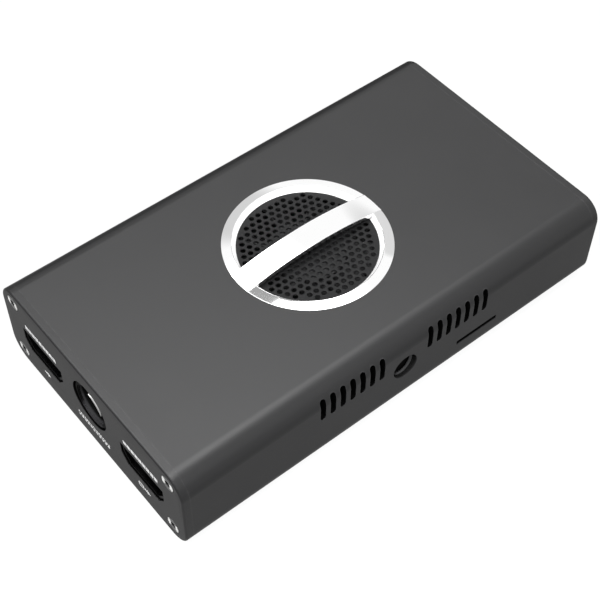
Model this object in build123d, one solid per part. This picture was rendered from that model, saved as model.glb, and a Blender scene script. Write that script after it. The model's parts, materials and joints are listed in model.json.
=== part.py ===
from build123d import *
import math
import os

# A pocket-size network video encoder, in millimetres.
# X runs along the case, from the port panel at -X to the rear panel at +X. Z is up, from the underside.

# Case
case_length = 120.0
case_width = 68.3
corner_radius = 5.4
wall = 2.0
panel_thickness = 2.0
panel_edge_round = 0.5

# Screws that hold the two end panels
panel_screw_inset_side = 4.8
panel_screw_inset_top = 3.4
panel_screw_inset_bottom = 4.1
panel_screw_radius = 1.25
panel_screw_head_radius = 2.15
panel_screw_head_depth = 1.2
panel_screw_length = 9.0
screw_boss_radius = 2.0
screw_boss_length = 11.0
recess_radius = 0.75
recess_depth = 0.7
least_round = 0.5
thread_gap = 0.05
overcut = 1.0

# Side vents, the same on both long sides
vent_count = 7
vent_pitch = 2.75
vent_offset = 7.0
vent_width = 1.5
vent_height = 6.7
vent_top_margin = 2.7

# Tripod thread in the side, a quarter-inch thread
tripod_radius = 3.175
tripod_height = 13.5
tripod_mouth_chamfer = 0.3
bush_wall = 1.225
bush_length = 5.6
bush_rail_gap = 0.1

# Ring, crossbar and grille on top
ring_outer_radius = 19.6
ring_band = 2.4
ring_height = 0.6
ring_edge_round = 0.3
ring_throat_slope = 0.9
ring_throat_depth = 0.8
ring_spigot_wall = 0.6
ring_spigot_length = 1.9
bar_width = 6.4
bar_arch = 1.76
bar_end_step = 0.2
bar_thickness = 1.1
grille_seat = 1.0
grille_thickness = 0.5
grille_hole_radius = 0.6
grille_pitch = 1.85
grille_shift_x = 0.5
grille_shift_y = -0.2
grille_border = 0.9
seat_gap = 0.1

# Circuit board and the rails that hold it
board_boss_gap = 0.1
board_thickness = 1.6
board_side_gap = 0.3
board_end_gap = 0.3
rail_depth = 1.8
rail_thickness = 1.0
rail_gap = 0.1

# Processor, memory and heat sink
chip_size = 23.0
chip_height = 1.8
chip_lid_margin = 2.3
memory_width = 9.0
memory_length = 13.0
memory_height = 1.1
memory_gap_x = 4.0
memory_gap_y = 3.0
pad_thickness = 0.6
sink_length = 50.0
sink_side_gap = 1.05
sink_base = 2.0
fin_thickness = 1.0
fin_pitch = 2.5
fin_top_gap = 0.5
sink_screw_x = 10.5
sink_screw_edge = 2.7
sink_screw_radius = 1.0
sink_screw_head_radius = 1.9
sink_screw_head_height = 1.4
standoff_radius = 2.4

# Fan
fan_size = 40.0
fan_height = 7.0
fan_top_gap = 0.2
fan_corner_radius = 3.0
fan_wall = 1.3
fan_hole_inset = 4.0
fan_screw_radius = 1.2
fan_screw_head_radius = 2.2
fan_screw_head_height = 1.2
fan_hole_gap = 0.2
fan_screw_end_gap = 0.4
fan_tip_gap = 0.5
fan_fit_gap = 0.3
strut_count = 4
strut_turn = 45.0
strut_width = 2.2
strut_thickness = 1.0
strut_bite = 1.0
motor_plate_step = 0.4
hub_radius = 9.0
hub_wall = 0.9
blade_count = 9
blade_thickness = 0.8
blade_root_angle = 48.0
blade_tip_angle = 32.0
blade_chord = 7.4
blade_bite = 0.3
shaft_radius = 1.0
shaft_gap = 0.03
bearing_wall = 0.97
tube_wall = 0.8
stator_gap = 0.8
stator_height = 2.8
stator_yoke = 1.2
pole_count = 4
pole_width = 2.0
pole_shoe = 1.0
pole_shoe_width = 6.0
magnet_thickness = 0.9

# Video ports in the port panel
video_port_y = 19.15
video_foot = 0.45
video_gap = 0.25
video_shell_width = 15.0
video_shell_height = 5.9
video_shell_wall = 0.45
video_shell_length = 11.6
video_corner_rise = 2.6
video_corner_run = 2.1
video_tongue_width = 11.4
video_tongue_thickness = 1.3
video_tongue_recess = 3.0
video_back = 2.5
video_heel = 1.0
contact_pitch = 1.0
contact_width = 0.4
contact_thickness = 0.12
contact_length = 5.0
contact_start = 0.3
upper_contact_count = 10
lower_contact_count = 9
port_recess = 0.4
port_roof_gap = 1.1

# Round power port in the port panel
power_port_y = 0.2
power_port_lift = 6.4
power_gap = 0.15
power_barrel_radius = 6.1
power_barrel_wall = 1.0
power_barrel_length = 7.9
power_barrel_round = 0.4
power_core_radius = 4.3
power_core_recess = 2.6
power_body_wall = 0.8
power_body_length = 11.5
power_pin_radius = 0.5
power_pin_circle = 2.5
power_pin_count = 4
power_pin_turn = 45.0
power_pin_recess = 0.8
power_socket_radius = 0.85

# Card slot in the side
card_slot_x = 22.25
card_slot_width = 12.3
card_slot_height = 1.2
card_floor = 0.2
card_side_wall = 1.55
card_back_wall = 2.1
card_cavity_width = 11.3
card_cavity_height = 1.0
card_cavity_length = 11.5
card_cover_thickness = 0.25

# Network port in the rear panel
lan_y = 14.0
lan_width = 16.0
lan_height = 13.4
lan_length = 21.0
lan_shield = 0.25
lan_cavity_width = 11.9
lan_cavity_height = 7.0
lan_cavity_length = 12.5
lan_cavity_bottom = 2.9
lan_latch_width = 6.2
lan_latch_height = 1.6
lan_contact_count = 8
lan_contact_pitch = 1.05
lan_contact_width = 0.5
lan_contact_thickness = 0.3
lan_contact_length = 8.0
lan_gap = 0.35
lan_housing_recess = 0.3

# Small data port in the rear panel
data_y = -4.5
data_width = 8.95
data_height = 3.2
data_wall = 0.3
data_length = 8.0
data_tongue_width = 6.6
data_tongue_thickness = 0.7
data_tongue_recess = 1.0
data_gap = 0.35
data_back = 1.5

# Reset button in the rear panel
reset_y = -13.5
reset_lift = 2.4
reset_travel = 0.5
reset_cap_radius = 1.4
reset_hole_gap = 0.15
reset_stem_radius = 0.9
reset_stem_gap = 0.1
reset_flush_gap = 0.1
reset_stop_gap = 0.3
reset_cap_length = 2.6
reset_stem_length = 1.6
switch_width = 6.0
switch_length = 4.0
switch_cover = 2.2

# Status lights in the rear panel
light_count = 3
light_offset = 6.0
light_pitch = 3.0
light_radius = 1.0
light_gap = 0.05
guide_length = 4.4
led_width = 1.8
led_length = 1.4

# Loose parts on the board
coil_size = 6.8
coil_height = 3.4
coil_count = 4
coil_gap = 4.8
coil_corner = 1.1
rail_margin = 0.6
can_radius = 2.6
can_height = 5.6
can_count = 4
can_base_height = 0.8
transformer_length = 9.0
transformer_width = 13.0
transformer_height = 4.2
transformer_gap = 1.1
transformer_chamfer = 0.5
header_length = 7.0
header_width = 3.2
header_height = 3.6
header_gap = 2.9
header_wall = 0.6
header_floor = 1.0
header_y = 20.0
header_pin_count = 3
header_pin_pitch = 1.8
header_pin_size = 0.5
header_pin_drop = 0.5

# Worked out from the sizes above. The tallest port sets the case's height, 24.3.
board_bottom = panel_screw_inset_bottom + screw_boss_radius + board_boss_gap
board_top = board_bottom + board_thickness
power_body_width = 2 * (power_barrel_radius + power_body_wall)
tallest_port = max(lan_height, power_port_lift + power_body_width / 2)
case_height = board_top + tallest_port + port_roof_gap + wall
half_length = case_length / 2
half_width = case_width / 2
sleeve_length = case_length - 2 * panel_thickness
half_sleeve = sleeve_length / 2
inner_half_width = half_width - wall
inner_top = case_height - wall
board_length = sleeve_length - 2 * board_end_gap
board_width = 2 * (inner_half_width - board_side_gap)
free_half_width = inner_half_width - rail_depth
panel_screw_y = half_width - panel_screw_inset_side
panel_screw_heights = (panel_screw_inset_bottom, case_height - panel_screw_inset_top)
vent_z = case_height - vent_top_margin - vent_height / 2
ring_inner_radius = ring_outer_radius - ring_band
ring_throat_radius = ring_inner_radius - ring_throat_slope
ring_spigot_radius = ring_throat_radius + grille_seat + ring_spigot_wall
bar_end_rise = ring_height + bar_end_step
bar_rise = bar_end_rise + bar_arch
grille_radius = ring_throat_radius + grille_seat - seat_gap
grille_top = case_height - ring_throat_depth
bush_radius = tripod_radius + bush_wall
chip_top = board_top + chip_height
chip_lid = chip_size - 2 * chip_lid_margin
memory_x = (chip_size + memory_width) / 2 + memory_gap_x
memory_y = (memory_length + memory_gap_y) / 2
sink_bottom = chip_top + pad_thickness
sink_top = sink_bottom + sink_base
sink_width = 2 * (inner_half_width - bush_length - sink_side_gap)
sink_screw_y = sink_width / 2 - sink_screw_edge
fan_top = inner_top - fan_top_gap
fan_bottom = fan_top - fan_height
fan_bore_radius = fan_size / 2 - fan_wall
fan_hole_offset = fan_size / 2 - fan_hole_inset
motor_plate_radius = hub_radius - motor_plate_step
motor_plate_top = fan_bottom + strut_thickness
rotor_bottom = motor_plate_top + fan_fit_gap
rotor_top = fan_top - fan_fit_gap
hub_inner_radius = hub_radius - hub_wall
hub_roof_bottom = rotor_top - hub_wall
magnet_inner_radius = hub_inner_radius - magnet_thickness
bearing_radius = shaft_radius + shaft_gap + bearing_wall
tube_radius = bearing_radius + tube_wall
tube_top = hub_roof_bottom - fan_fit_gap
stator_radius = magnet_inner_radius - stator_gap
stator_bottom = motor_plate_top + fan_fit_gap
video_port_z = board_top + video_foot + video_shell_height / 2
video_front = port_recess - half_length
video_end = video_front + video_shell_length
power_port_z = board_top + power_port_lift
power_barrel_end = power_barrel_length - half_length
power_core_front = power_core_recess - half_length
power_body_end = board_end_gap - half_sleeve + power_body_length
card_slot_z = board_top + card_floor + card_cavity_height / 2
card_body_width = card_cavity_width + 2 * card_side_wall
card_body_length = card_cavity_length + card_back_wall
card_front_y = -board_width / 2
rear_port_front = half_length - port_recess
lan_back = rear_port_front - lan_length
lan_z = board_top + lan_height / 2
data_z = board_top + data_height / 2
reset_z = board_top + reset_lift
reset_cap_back = half_length - reset_flush_gap - reset_cap_length
switch_height = reset_lift + switch_cover
light_first_y = reset_y - light_offset
light_places = [light_first_y - index * light_pitch for index in range(light_count)]
coil_x = power_body_end + coil_gap + coil_size / 2
transformer_x = rear_port_front - data_length - transformer_gap - transformer_length / 2
transformer_y = lan_y - lan_width / 2 - transformer_gap - transformer_width / 2
column_length = 2 * (free_half_width - rail_margin)
column_spare = column_length - coil_count * coil_size - can_count * 2 * can_radius
column_space = column_spare / (coil_count + can_count - 1)
coil_pitch = coil_size + column_space
can_pitch = 2 * can_radius + column_space
header_x = (sink_length + header_width) / 2 + header_gap


# Shape helpers


def block(size_x, size_y, size_z, x, y, bottom):
    """A box centred on x and y, standing on the given height."""
    centre = (Align.CENTER, Align.CENTER, Align.MIN)
    return Pos(x, y, bottom) * Box(size_x, size_y, size_z, align=centre)


def rod_z(radius, low, high, x=0.0, y=0.0):
    """An upright cylinder between two heights."""
    centre = (Align.CENTER, Align.CENTER, Align.MIN)
    return Pos(x, y, low) * Cylinder(radius, high - low, align=centre)


def rod_x(radius, start, end, y, z):
    """A cylinder along X between two stations."""
    centre = (Align.CENTER, Align.CENTER, Align.MIN)
    return Pos(start, y, z) * Rot(0, 90, 0) * Cylinder(radius, end - start, align=centre)


def rod_y(radius, start, end, x, z):
    """A cylinder along Y between two stations."""
    centre = (Align.CENTER, Align.CENTER, Align.MIN)
    return Pos(x, start, z) * Rot(-90, 0, 0) * Cylinder(radius, end - start, align=centre)


def across(sketch, start, end):
    """Extrudes a Y-Z sketch along X between two stations."""
    return extrude(Plane.YZ.offset(start) * sketch, amount=end - start)


def solids_of(pieces):
    """Separate solids that share one node."""
    return Compound(children=[piece.solid() for piece in pieces])


def outer_section():
    """The case's outline, seen along X."""
    return Pos(0, case_height / 2) * RectangleRounded(case_width, case_height, corner_radius)


def panel_screw_places():
    """The four screw axes as (y, z)."""
    return [(side * panel_screw_y, z) for side in (-1, 1) for z in panel_screw_heights]


# Case


def rail_section():
    """The four rails that hold the board's two long edges."""
    rails = Sketch()
    reach = rail_depth + wall / 2
    y_centre = inner_half_width - rail_depth + reach / 2
    low_z = board_bottom - rail_gap - rail_thickness / 2
    high_z = board_top + rail_gap + rail_thickness / 2
    for side in (-1, 1):
        for z in (low_z, high_z):
            rails += Pos(side * y_centre, z) * Rectangle(reach, rail_thickness)
    return rails


def boss_section():
    """Four corner bosses that merge with the walls."""
    bosses = Sketch()
    for y, z in panel_screw_places():
        side = 1 if y > 0 else -1
        to_wall_y = half_width - wall / 2 - abs(y)
        to_wall_z = z - wall / 2 if z < case_height / 2 else case_height - wall / 2 - z
        up = -1 if z < case_height / 2 else 1
        bosses += Pos(y, z) * Circle(screw_boss_radius)
        bosses += Pos(y + side * to_wall_y / 2, z) * Rectangle(to_wall_y, 2 * screw_boss_radius)
        bosses += Pos(y, z + up * to_wall_z / 2) * Rectangle(2 * screw_boss_radius, to_wall_z)
    return bosses & outer_section()


def bush_room():
    """The space that the rails and the board leave for the tripod bush."""
    return rod_y(bush_radius + bush_rail_gap, -inner_half_width, bush_length - inner_half_width, 0, tripod_height)


def sleeve():
    inner_radius = max(corner_radius - wall, least_round)
    inner = RectangleRounded(case_width - 2 * wall, case_height - 2 * wall, inner_radius)
    section = outer_section() - Pos(0, case_height / 2) * inner + rail_section()
    body = across(section, -half_sleeve, half_sleeve)
    ends = ((-half_sleeve, -half_sleeve + screw_boss_length), (half_sleeve - screw_boss_length, half_sleeve))
    for start, end in ends:
        body += across(boss_section(), start, end)
        for y, z in panel_screw_places():
            body -= rod_x(panel_screw_radius + thread_gap, start, end, y, z)
    vent = SlotOverall(vent_height, vent_width, rotation=90)
    for side in (-1, 1):
        for index in range(vent_count):
            place = Pos(side * (vent_offset + index * vent_pitch), vent_z)
            body -= extrude(Plane.XZ * (place * vent), amount=case_width, both=True)
    body -= rod_z(ring_spigot_radius + seat_gap, inner_top - wall, case_height + wall)
    body -= rod_y(tripod_radius, -half_width - wall, -inner_half_width + wall, 0, tripod_height)
    mouth = Cone(tripod_radius, tripod_radius + tripod_mouth_chamfer, tripod_mouth_chamfer)
    body -= Pos(0, tripod_mouth_chamfer / 2 - half_width, tripod_height) * Rot(90, 0, 0) * mouth
    body -= block(card_slot_width, 2 * wall, card_slot_height, card_slot_x, wall / 2 - half_width,
                  card_slot_z - card_slot_height / 2)
    socket_room = card_body_width + 2 * (card_cover_thickness + board_side_gap)
    body -= block(socket_room, rail_depth, rail_gap + rail_thickness, card_slot_x,
                  rail_depth / 2 - inner_half_width, board_top)
    return body - bush_room()


def blank_panel(face_x, inward):
    """A plain end plate. inward is +1 for the plate at -X and -1 for the plate at +X."""
    back_x = face_x + inward * panel_thickness
    plate = across(outer_section(), min(face_x, back_x), max(face_x, back_x))
    edges = plate.faces().sort_by(Axis.X)[0 if inward > 0 else -1].edges()
    plate = fillet(edges, panel_edge_round)
    for y, z in panel_screw_places():
        low, high = sorted((face_x, back_x))
        plate -= rod_x(panel_screw_radius + thread_gap, low, high, y, z)
        plate -= countersink(face_x, inward, y, z, thread_gap)
    return plate


def countersink(face_x, inward, y, z, gap):
    """The cone that a flat screw head fills, grown by a gap."""
    turn = Rot(0, 90 * inward, 0)
    cone = Cone(panel_screw_head_radius + gap, panel_screw_radius + gap, panel_screw_head_depth,
                align=(Align.CENTER, Align.CENTER, Align.MIN))
    return Pos(face_x, y, z) * turn * cone


def panel_screws(face_x, inward):
    """Four flat-headed screws with a hexagon recess."""
    screws = []
    for y, z in panel_screw_places():
        end_x = face_x + inward * panel_screw_length
        low, high = sorted((face_x, end_x))
        screw = rod_x(panel_screw_radius, low, high, y, z) + countersink(face_x, inward, y, z, 0)
        socket = RegularPolygon(recess_radius, 6)
        low, high = sorted((face_x, face_x + inward * recess_depth))
        screw -= across(Pos(y, z) * socket, low, high)
        screws.append(screw)
    return solids_of(screws)


def front_panel():
    plate = blank_panel(-half_length, 1)
    low = -half_length - overcut
    high = -half_sleeve + overcut
    for side in (-1, 1):
        cutout = video_outline(video_shell_width + 2 * video_gap, video_shell_height + 2 * video_gap)
        plate -= across(Pos(side * video_port_y, video_port_z) * cutout, low, high)
    plate -= rod_x(power_barrel_radius + power_gap, low, high, power_port_y, power_port_z)
    return plate


def rear_panel():
    plate = blank_panel(half_length, -1)
    low = half_sleeve - overcut
    high = half_length + overcut
    lan_hole = Rectangle(lan_width + 2 * lan_gap, lan_height + 2 * lan_gap)
    plate -= across(Pos(lan_y, lan_z) * lan_hole, low, high)
    plate -= across(Pos(data_y, data_z) * data_outline(data_gap), low, high)
    plate -= rod_x(reset_cap_radius + reset_hole_gap, low, high, reset_y, reset_z)
    for y in light_places:
        plate -= rod_x(light_radius + light_gap, low, high, y, reset_z)
    return plate


def tripod_bush():
    """A round bush brazed to the inside of the side wall, with the thread's bore."""
    start = -inner_half_width
    bush = rod_y(bush_radius, start, start + bush_length, 0, tripod_height)
    return bush - rod_y(tripod_radius, start, start + bush_length, 0, tripod_height)


# Ring and grille


def ring_profile():
    """Half of the ring's section, as radius and height."""
    top = case_height + ring_height
    spigot_inner = ring_spigot_radius - ring_spigot_wall
    spigot_end = case_height - ring_spigot_length
    points = [
        (ring_outer_radius, case_height),
        (ring_outer_radius, top - ring_edge_round),
        (ring_outer_radius - ring_edge_round, top),
        (ring_inner_radius, top),
        (ring_throat_radius, grille_top),
        (spigot_inner, grille_top),
        (spigot_inner, spigot_end),
        (ring_spigot_radius, spigot_end),
        (ring_spigot_radius, case_height),
    ]
    return Plane.XZ * make_face(Polyline(points, close=True))


def badge_ring():
    ring = revolve(ring_profile(), Axis.Z)
    top_arc = ThreePointArc(
        (-ring_outer_radius, case_height + bar_end_rise),
        (0, case_height + bar_rise),
        (ring_outer_radius, case_height + bar_end_rise),
    )
    low_arc = ThreePointArc(
        (ring_outer_radius, case_height + bar_end_rise - bar_thickness),
        (0, case_height + bar_rise - bar_thickness),
        (-ring_outer_radius, case_height + bar_end_rise - bar_thickness),
    )
    right_end = Line(top_arc @ 1, low_arc @ 0)
    left_end = Line(low_arc @ 1, top_arc @ 0)
    side_view = make_face(Curve() + [top_arc, right_end, low_arc, left_end])
    bar = extrude(Plane.XZ * side_view, amount=bar_width / 2, both=True)
    bar = bar & rod_z(ring_outer_radius, case_height, case_height + bar_rise + overcut)
    return ring + bar


def grille_mesh():
    """A round plate with staggered round holes, held up in the ring's rebate."""
    row_pitch = grille_pitch * math.sqrt(3) / 2
    plate = Circle(grille_radius)
    reach = ring_throat_radius - grille_border
    rows = int(reach / row_pitch) + 2
    places = []
    for row in range(-rows, rows + 1):
        y = row * row_pitch + grille_shift_y
        offset = grille_shift_x + (grille_pitch / 2 if row % 2 == 0 else 0)
        columns = int(reach / grille_pitch) + 2
        for column in range(-columns, columns + 1):
            x = column * grille_pitch + offset
            if math.hypot(x, y) < reach:
                places.append(Location((x, y)))
    plate -= [place * Circle(grille_hole_radius) for place in places]
    return extrude(Pos(0, 0, grille_top - grille_thickness) * plate, amount=grille_thickness)


# Board, chips and heat sink


def main_board():
    return block(board_length, board_width, board_thickness, 0, 0, board_bottom) - bush_room()


def main_chip():
    base_height = chip_height / 2
    chip = block(chip_size, chip_size, base_height, 0, 0, board_top)
    return chip + block(chip_lid, chip_lid, chip_height - base_height, 0, 0, board_top + base_height)


def memory_chips():
    chips = []
    for x in (-memory_x, memory_x):
        for y in (-memory_y, memory_y):
            chips.append(block(memory_width, memory_length, memory_height, x, y, board_top))
    return solids_of(chips)


def thermal_pad():
    return block(chip_lid, chip_lid, pad_thickness, 0, 0, chip_top)


def sink_screw_places():
    return [(x, y) for x in (-sink_screw_x, sink_screw_x) for y in (-sink_screw_y, sink_screw_y)]


def fan_screw_places():
    return [(x, y) for x in (-fan_hole_offset, fan_hole_offset) for y in (-fan_hole_offset, fan_hole_offset)]


def heat_sink():
    """Fins along Y, low under the fan and tall around it."""
    sink = block(sink_length, sink_width, sink_base, 0, 0, sink_bottom)
    fan_room = fan_size / 2 + fan_fit_gap
    fin_height = inner_top - fin_top_gap - sink_top
    count = int((sink_length - fin_thickness) / fin_pitch) + 1
    first_x = -(count - 1) * fin_pitch / 2
    for index in range(count):
        x = first_x + index * fin_pitch
        sink += block(fin_thickness, sink_width, fin_height, x, 0, sink_top)
    sink -= block(2 * fan_room, 2 * fan_room, fin_height, 0, 0, fan_bottom)
    for x, y in fan_screw_places():
        sink += rod_z(fan_screw_head_radius, sink_top, fan_bottom, x, y)
        sink -= rod_z(fan_screw_radius + thread_gap, sink_bottom, fan_bottom, x, y)
    for x, y in sink_screw_places():
        sink -= rod_z(sink_screw_head_radius + fan_hole_gap, sink_top, sink_top + fin_height, x, y)
        sink -= rod_z(sink_screw_radius + thread_gap, sink_bottom, sink_top, x, y)
    return sink


def sink_standoffs():
    posts = []
    for x, y in sink_screw_places():
        post = rod_z(standoff_radius, board_top, sink_bottom, x, y)
        post -= rod_z(sink_screw_radius + thread_gap, board_top, sink_bottom, x, y)
        posts.append(post)
    return solids_of(posts)


def sink_screws():
    screws = []
    for x, y in sink_screw_places():
        screw = rod_z(sink_screw_radius, board_top, sink_top, x, y)
        head_top = sink_top + sink_screw_head_height
        screw += rod_z(sink_screw_head_radius, sink_top, head_top, x, y)
        slot = RegularPolygon(recess_radius, 6)
        screw -= extrude(Pos(x, y, head_top) * slot, amount=-recess_depth)
        screws.append(screw)
    return solids_of(screws)


# Fan


def fan_frame():
    """A square frame with a round bore and a motor plate on struts."""
    outline = RectangleRounded(fan_size, fan_size, fan_corner_radius)
    frame = extrude(Pos(0, 0, fan_bottom) * outline, amount=fan_height)
    frame -= rod_z(fan_bore_radius, fan_bottom, fan_top)
    frame += rod_z(motor_plate_radius, fan_bottom, motor_plate_top)
    reach = fan_bore_radius + strut_bite - motor_plate_radius / 2
    for index in range(strut_count):
        strut = block(reach, strut_width, strut_thickness, motor_plate_radius / 2 + reach / 2, 0, fan_bottom)
        frame += Rot(0, 0, strut_turn + 360 / strut_count * index) * strut
    frame += rod_z(tube_radius, fan_bottom, tube_top)
    frame -= rod_z(bearing_radius, motor_plate_top, tube_top)
    for x, y in fan_screw_places():
        frame -= rod_z(fan_screw_radius + fan_hole_gap, fan_bottom, fan_top, x, y)
        sunk = fan_top - fan_screw_head_height - fan_hole_gap
        frame -= rod_z(fan_screw_head_radius + fan_hole_gap, sunk, fan_top, x, y)
    return frame


def fan_bearing():
    """A plain bush in the frame's tube, open above for the shaft."""
    bush = rod_z(bearing_radius, motor_plate_top, tube_top)
    return bush - rod_z(shaft_radius + shaft_gap, motor_plate_top, tube_top)


def fan_stator():
    """Four wound poles round the bearing tube."""
    top = stator_bottom + stator_height
    core = rod_z(tube_radius + stator_yoke, stator_bottom, top)
    for index in range(pole_count):
        arm_length = stator_radius - pole_shoe / 2
        arm = block(arm_length, pole_width, stator_height, arm_length / 2, 0, stator_bottom)
        shoe = rod_z(stator_radius, stator_bottom, top) - rod_z(stator_radius - pole_shoe, stator_bottom, top)
        shoe = shoe & block(stator_radius, pole_shoe_width, stator_height, stator_radius, 0, stator_bottom)
        core += Rot(0, 0, 360 / pole_count * index) * (arm + shoe)
    return core - rod_z(tube_radius, stator_bottom, top)


def fan_blade():
    """One blade, twisted from a steep root to a flatter tip."""
    mid_height = (rotor_bottom + rotor_top) / 2
    stations = ((hub_radius - 2 * blade_bite, blade_root_angle), (fan_bore_radius, blade_tip_angle))
    sections = []
    for radius, angle in stations:
        plane = Plane(origin=(radius, 0, mid_height), x_dir=(0, 1, 0), z_dir=(1, 0, 0))
        sections.append(plane * Rectangle(blade_chord, blade_thickness, rotation=angle))
    return loft(sections)


def fan_rotor():
    """The hub cup with its blades."""
    hub = rod_z(hub_radius, rotor_bottom, rotor_top)
    hub -= rod_z(hub_inner_radius, rotor_bottom, hub_roof_bottom)
    sweep_radius = fan_bore_radius - fan_tip_gap
    room = rod_z(sweep_radius, rotor_bottom, rotor_top)
    room -= rod_z(hub_radius - blade_bite, rotor_bottom, rotor_top)
    blade = fan_blade() & room
    rotor = hub
    for index in range(blade_count):
        rotor += Rot(0, 0, 360 / blade_count * index) * blade
    return rotor - rod_z(shaft_radius, rotor_bottom, rotor_top)


def fan_magnet():
    ring = rod_z(hub_inner_radius, rotor_bottom, hub_roof_bottom)
    return ring - rod_z(magnet_inner_radius, rotor_bottom, hub_roof_bottom)


def fan_shaft():
    return rod_z(shaft_radius, motor_plate_top + fan_fit_gap, rotor_top)


def fan_screws():
    screws = []
    for x, y in fan_screw_places():
        head_bottom = fan_top - fan_screw_head_height - fan_hole_gap
        head_top = head_bottom + fan_screw_head_height
        screw = rod_z(fan_screw_radius, sink_bottom + fan_screw_end_gap, head_bottom, x, y)
        screw += rod_z(fan_screw_head_radius, head_bottom, head_top, x, y)
        slot = RegularPolygon(recess_radius, 6)
        screw -= extrude(Pos(x, y, head_top) * slot, amount=-recess_depth)
        screws.append(screw)
    return solids_of(screws)


# Ports in the port panel


def video_outline(width, height):
    """A rectangle whose two lower corners slope in, centred on its middle."""
    half = width / 2
    low = -height / 2
    points = [
        (-half, height / 2),
        (half, height / 2),
        (half, low + video_corner_rise),
        (half - video_corner_run, low),
        (-half + video_corner_run, low),
        (-half, low + video_corner_rise),
    ]
    return make_face(Polyline(points, close=True))


def video_inner():
    """The free section inside a video shell."""
    return video_outline(video_shell_width - 2 * video_shell_wall, video_shell_height - 2 * video_shell_wall)


def video_shell(y):
    section = video_outline(video_shell_width, video_shell_height) - video_inner()
    return across(Pos(y, video_port_z) * section, video_front, video_end)


def video_insulator(y):
    """Tongue, back block and the foot that stands on the board."""
    place = Pos(y, video_port_z)
    tongue = Rectangle(video_tongue_width, video_tongue_thickness)
    body = across(place * tongue, video_front + video_tongue_recess, video_end)
    body += across(place * video_inner(), video_end - video_back, video_end)
    foot_width = video_shell_width - 2 * video_corner_run
    foot_start = board_end_gap - half_sleeve
    foot_length = video_end + video_heel - foot_start
    body += block(foot_length, foot_width, video_foot, foot_start + foot_length / 2, y, board_top)
    heel_height = video_port_z - board_top
    body += block(video_heel, foot_width, heel_height, video_end + video_heel / 2, y, board_top)
    return body


def video_contacts(y):
    """Two rows of contacts, above and below the tongue."""
    x = video_front + video_tongue_recess + contact_start + contact_length / 2
    strips = []
    for count, side in ((upper_contact_count, 1), (lower_contact_count, -1)):
        z = video_port_z + side * (video_tongue_thickness + contact_thickness) / 2
        for index in range(count):
            strip_y = y + (index - (count - 1) / 2) * contact_pitch
            low = z - contact_thickness / 2
            strips.append(block(contact_length, contact_width, contact_thickness, x, strip_y, low))
    return solids_of(strips)


def power_barrel():
    """A round collar whose rounded rim lies flush with the panel."""
    inner_radius = power_barrel_radius - power_barrel_wall
    barrel = rod_x(power_barrel_radius, -half_length, power_barrel_end, power_port_y, power_port_z)
    barrel -= rod_x(inner_radius, -half_length, power_barrel_end, power_port_y, power_port_z)
    return fillet(barrel.faces().sort_by(Axis.X)[0].edges(), power_barrel_round)


def power_pin_places():
    places = []
    for index in range(power_pin_count):
        angle = math.radians(power_pin_turn + 360 / power_pin_count * index)
        y = power_port_y + power_pin_circle * math.cos(angle)
        z = power_port_z + power_pin_circle * math.sin(angle)
        places.append((y, z))
    return places


def power_body():
    """A block behind the panel with a core inside the barrel."""
    start = power_body_end - power_body_length
    height = power_port_z + power_body_width / 2 - board_top
    middle_x = (start + power_body_end) / 2
    body = block(power_body_length, power_body_width, height, middle_x, power_port_y, board_top)
    body -= rod_x(power_barrel_radius, start, power_barrel_end, power_port_y, power_port_z)
    body += rod_x(power_core_radius, power_core_front, power_body_end, power_port_y, power_port_z)
    for y, z in power_pin_places():
        body -= rod_x(power_socket_radius, power_core_front, power_barrel_end, y, z)
    return body


def power_pins():
    start = power_core_front + power_pin_recess
    return solids_of([rod_x(power_pin_radius, start, power_barrel_end, y, z) for y, z in power_pin_places()])


# Card socket


def card_socket_base():
    """An open tray on the board, behind the slot in the side."""
    tray_height = card_slot_z + card_cavity_height / 2 - board_top
    middle_y = card_front_y + card_body_length / 2
    tray = block(card_body_width, card_body_length, tray_height, card_slot_x, middle_y, board_top)
    cavity_floor = card_slot_z - card_cavity_height / 2
    cavity_y = card_front_y + card_cavity_length / 2
    return tray - block(card_cavity_width, card_cavity_length, card_cavity_height,
                        card_slot_x, cavity_y, cavity_floor)


def card_socket_cover():
    """A sheet metal cover that closes the tray and turns down at both sides."""
    roof = card_slot_z + card_cavity_height / 2
    middle_y = card_front_y + card_body_length / 2
    cover = block(card_body_width + 2 * card_cover_thickness, card_body_length, card_cover_thickness,
                  card_slot_x, middle_y, roof)
    for side in (-1, 1):
        x = card_slot_x + side * (card_body_width + card_cover_thickness) / 2
        cover += block(card_cover_thickness, card_body_length, roof - board_top, x, middle_y, board_top)
    return cover


# Ports in the rear panel


def lan_inner():
    """The section inside the network port's can."""
    return Pos(lan_y, lan_z) * Rectangle(lan_width - 2 * lan_shield, lan_height - 2 * lan_shield)


def lan_shield_can():
    """A thin metal can round the network port, open in front."""
    can = across(Pos(lan_y, lan_z) * Rectangle(lan_width, lan_height), lan_back, rear_port_front)
    return can - across(lan_inner(), lan_back + lan_shield, rear_port_front)


def lan_housing():
    """The plastic body with the plug's cavity and the notch for its latch."""
    body = across(lan_inner(), lan_back + lan_shield, rear_port_front - lan_housing_recess)
    cavity_start = rear_port_front - lan_cavity_length
    cavity_z = board_top + lan_cavity_bottom + lan_cavity_height / 2
    cavity = Pos(lan_y, cavity_z) * Rectangle(lan_cavity_width, lan_cavity_height)
    latch_height = lan_latch_height + lan_cavity_height / 2
    latch = Pos(lan_y, cavity_z - latch_height / 2) * Rectangle(lan_latch_width, latch_height)
    return body - across(cavity + latch, cavity_start, rear_port_front)


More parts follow.
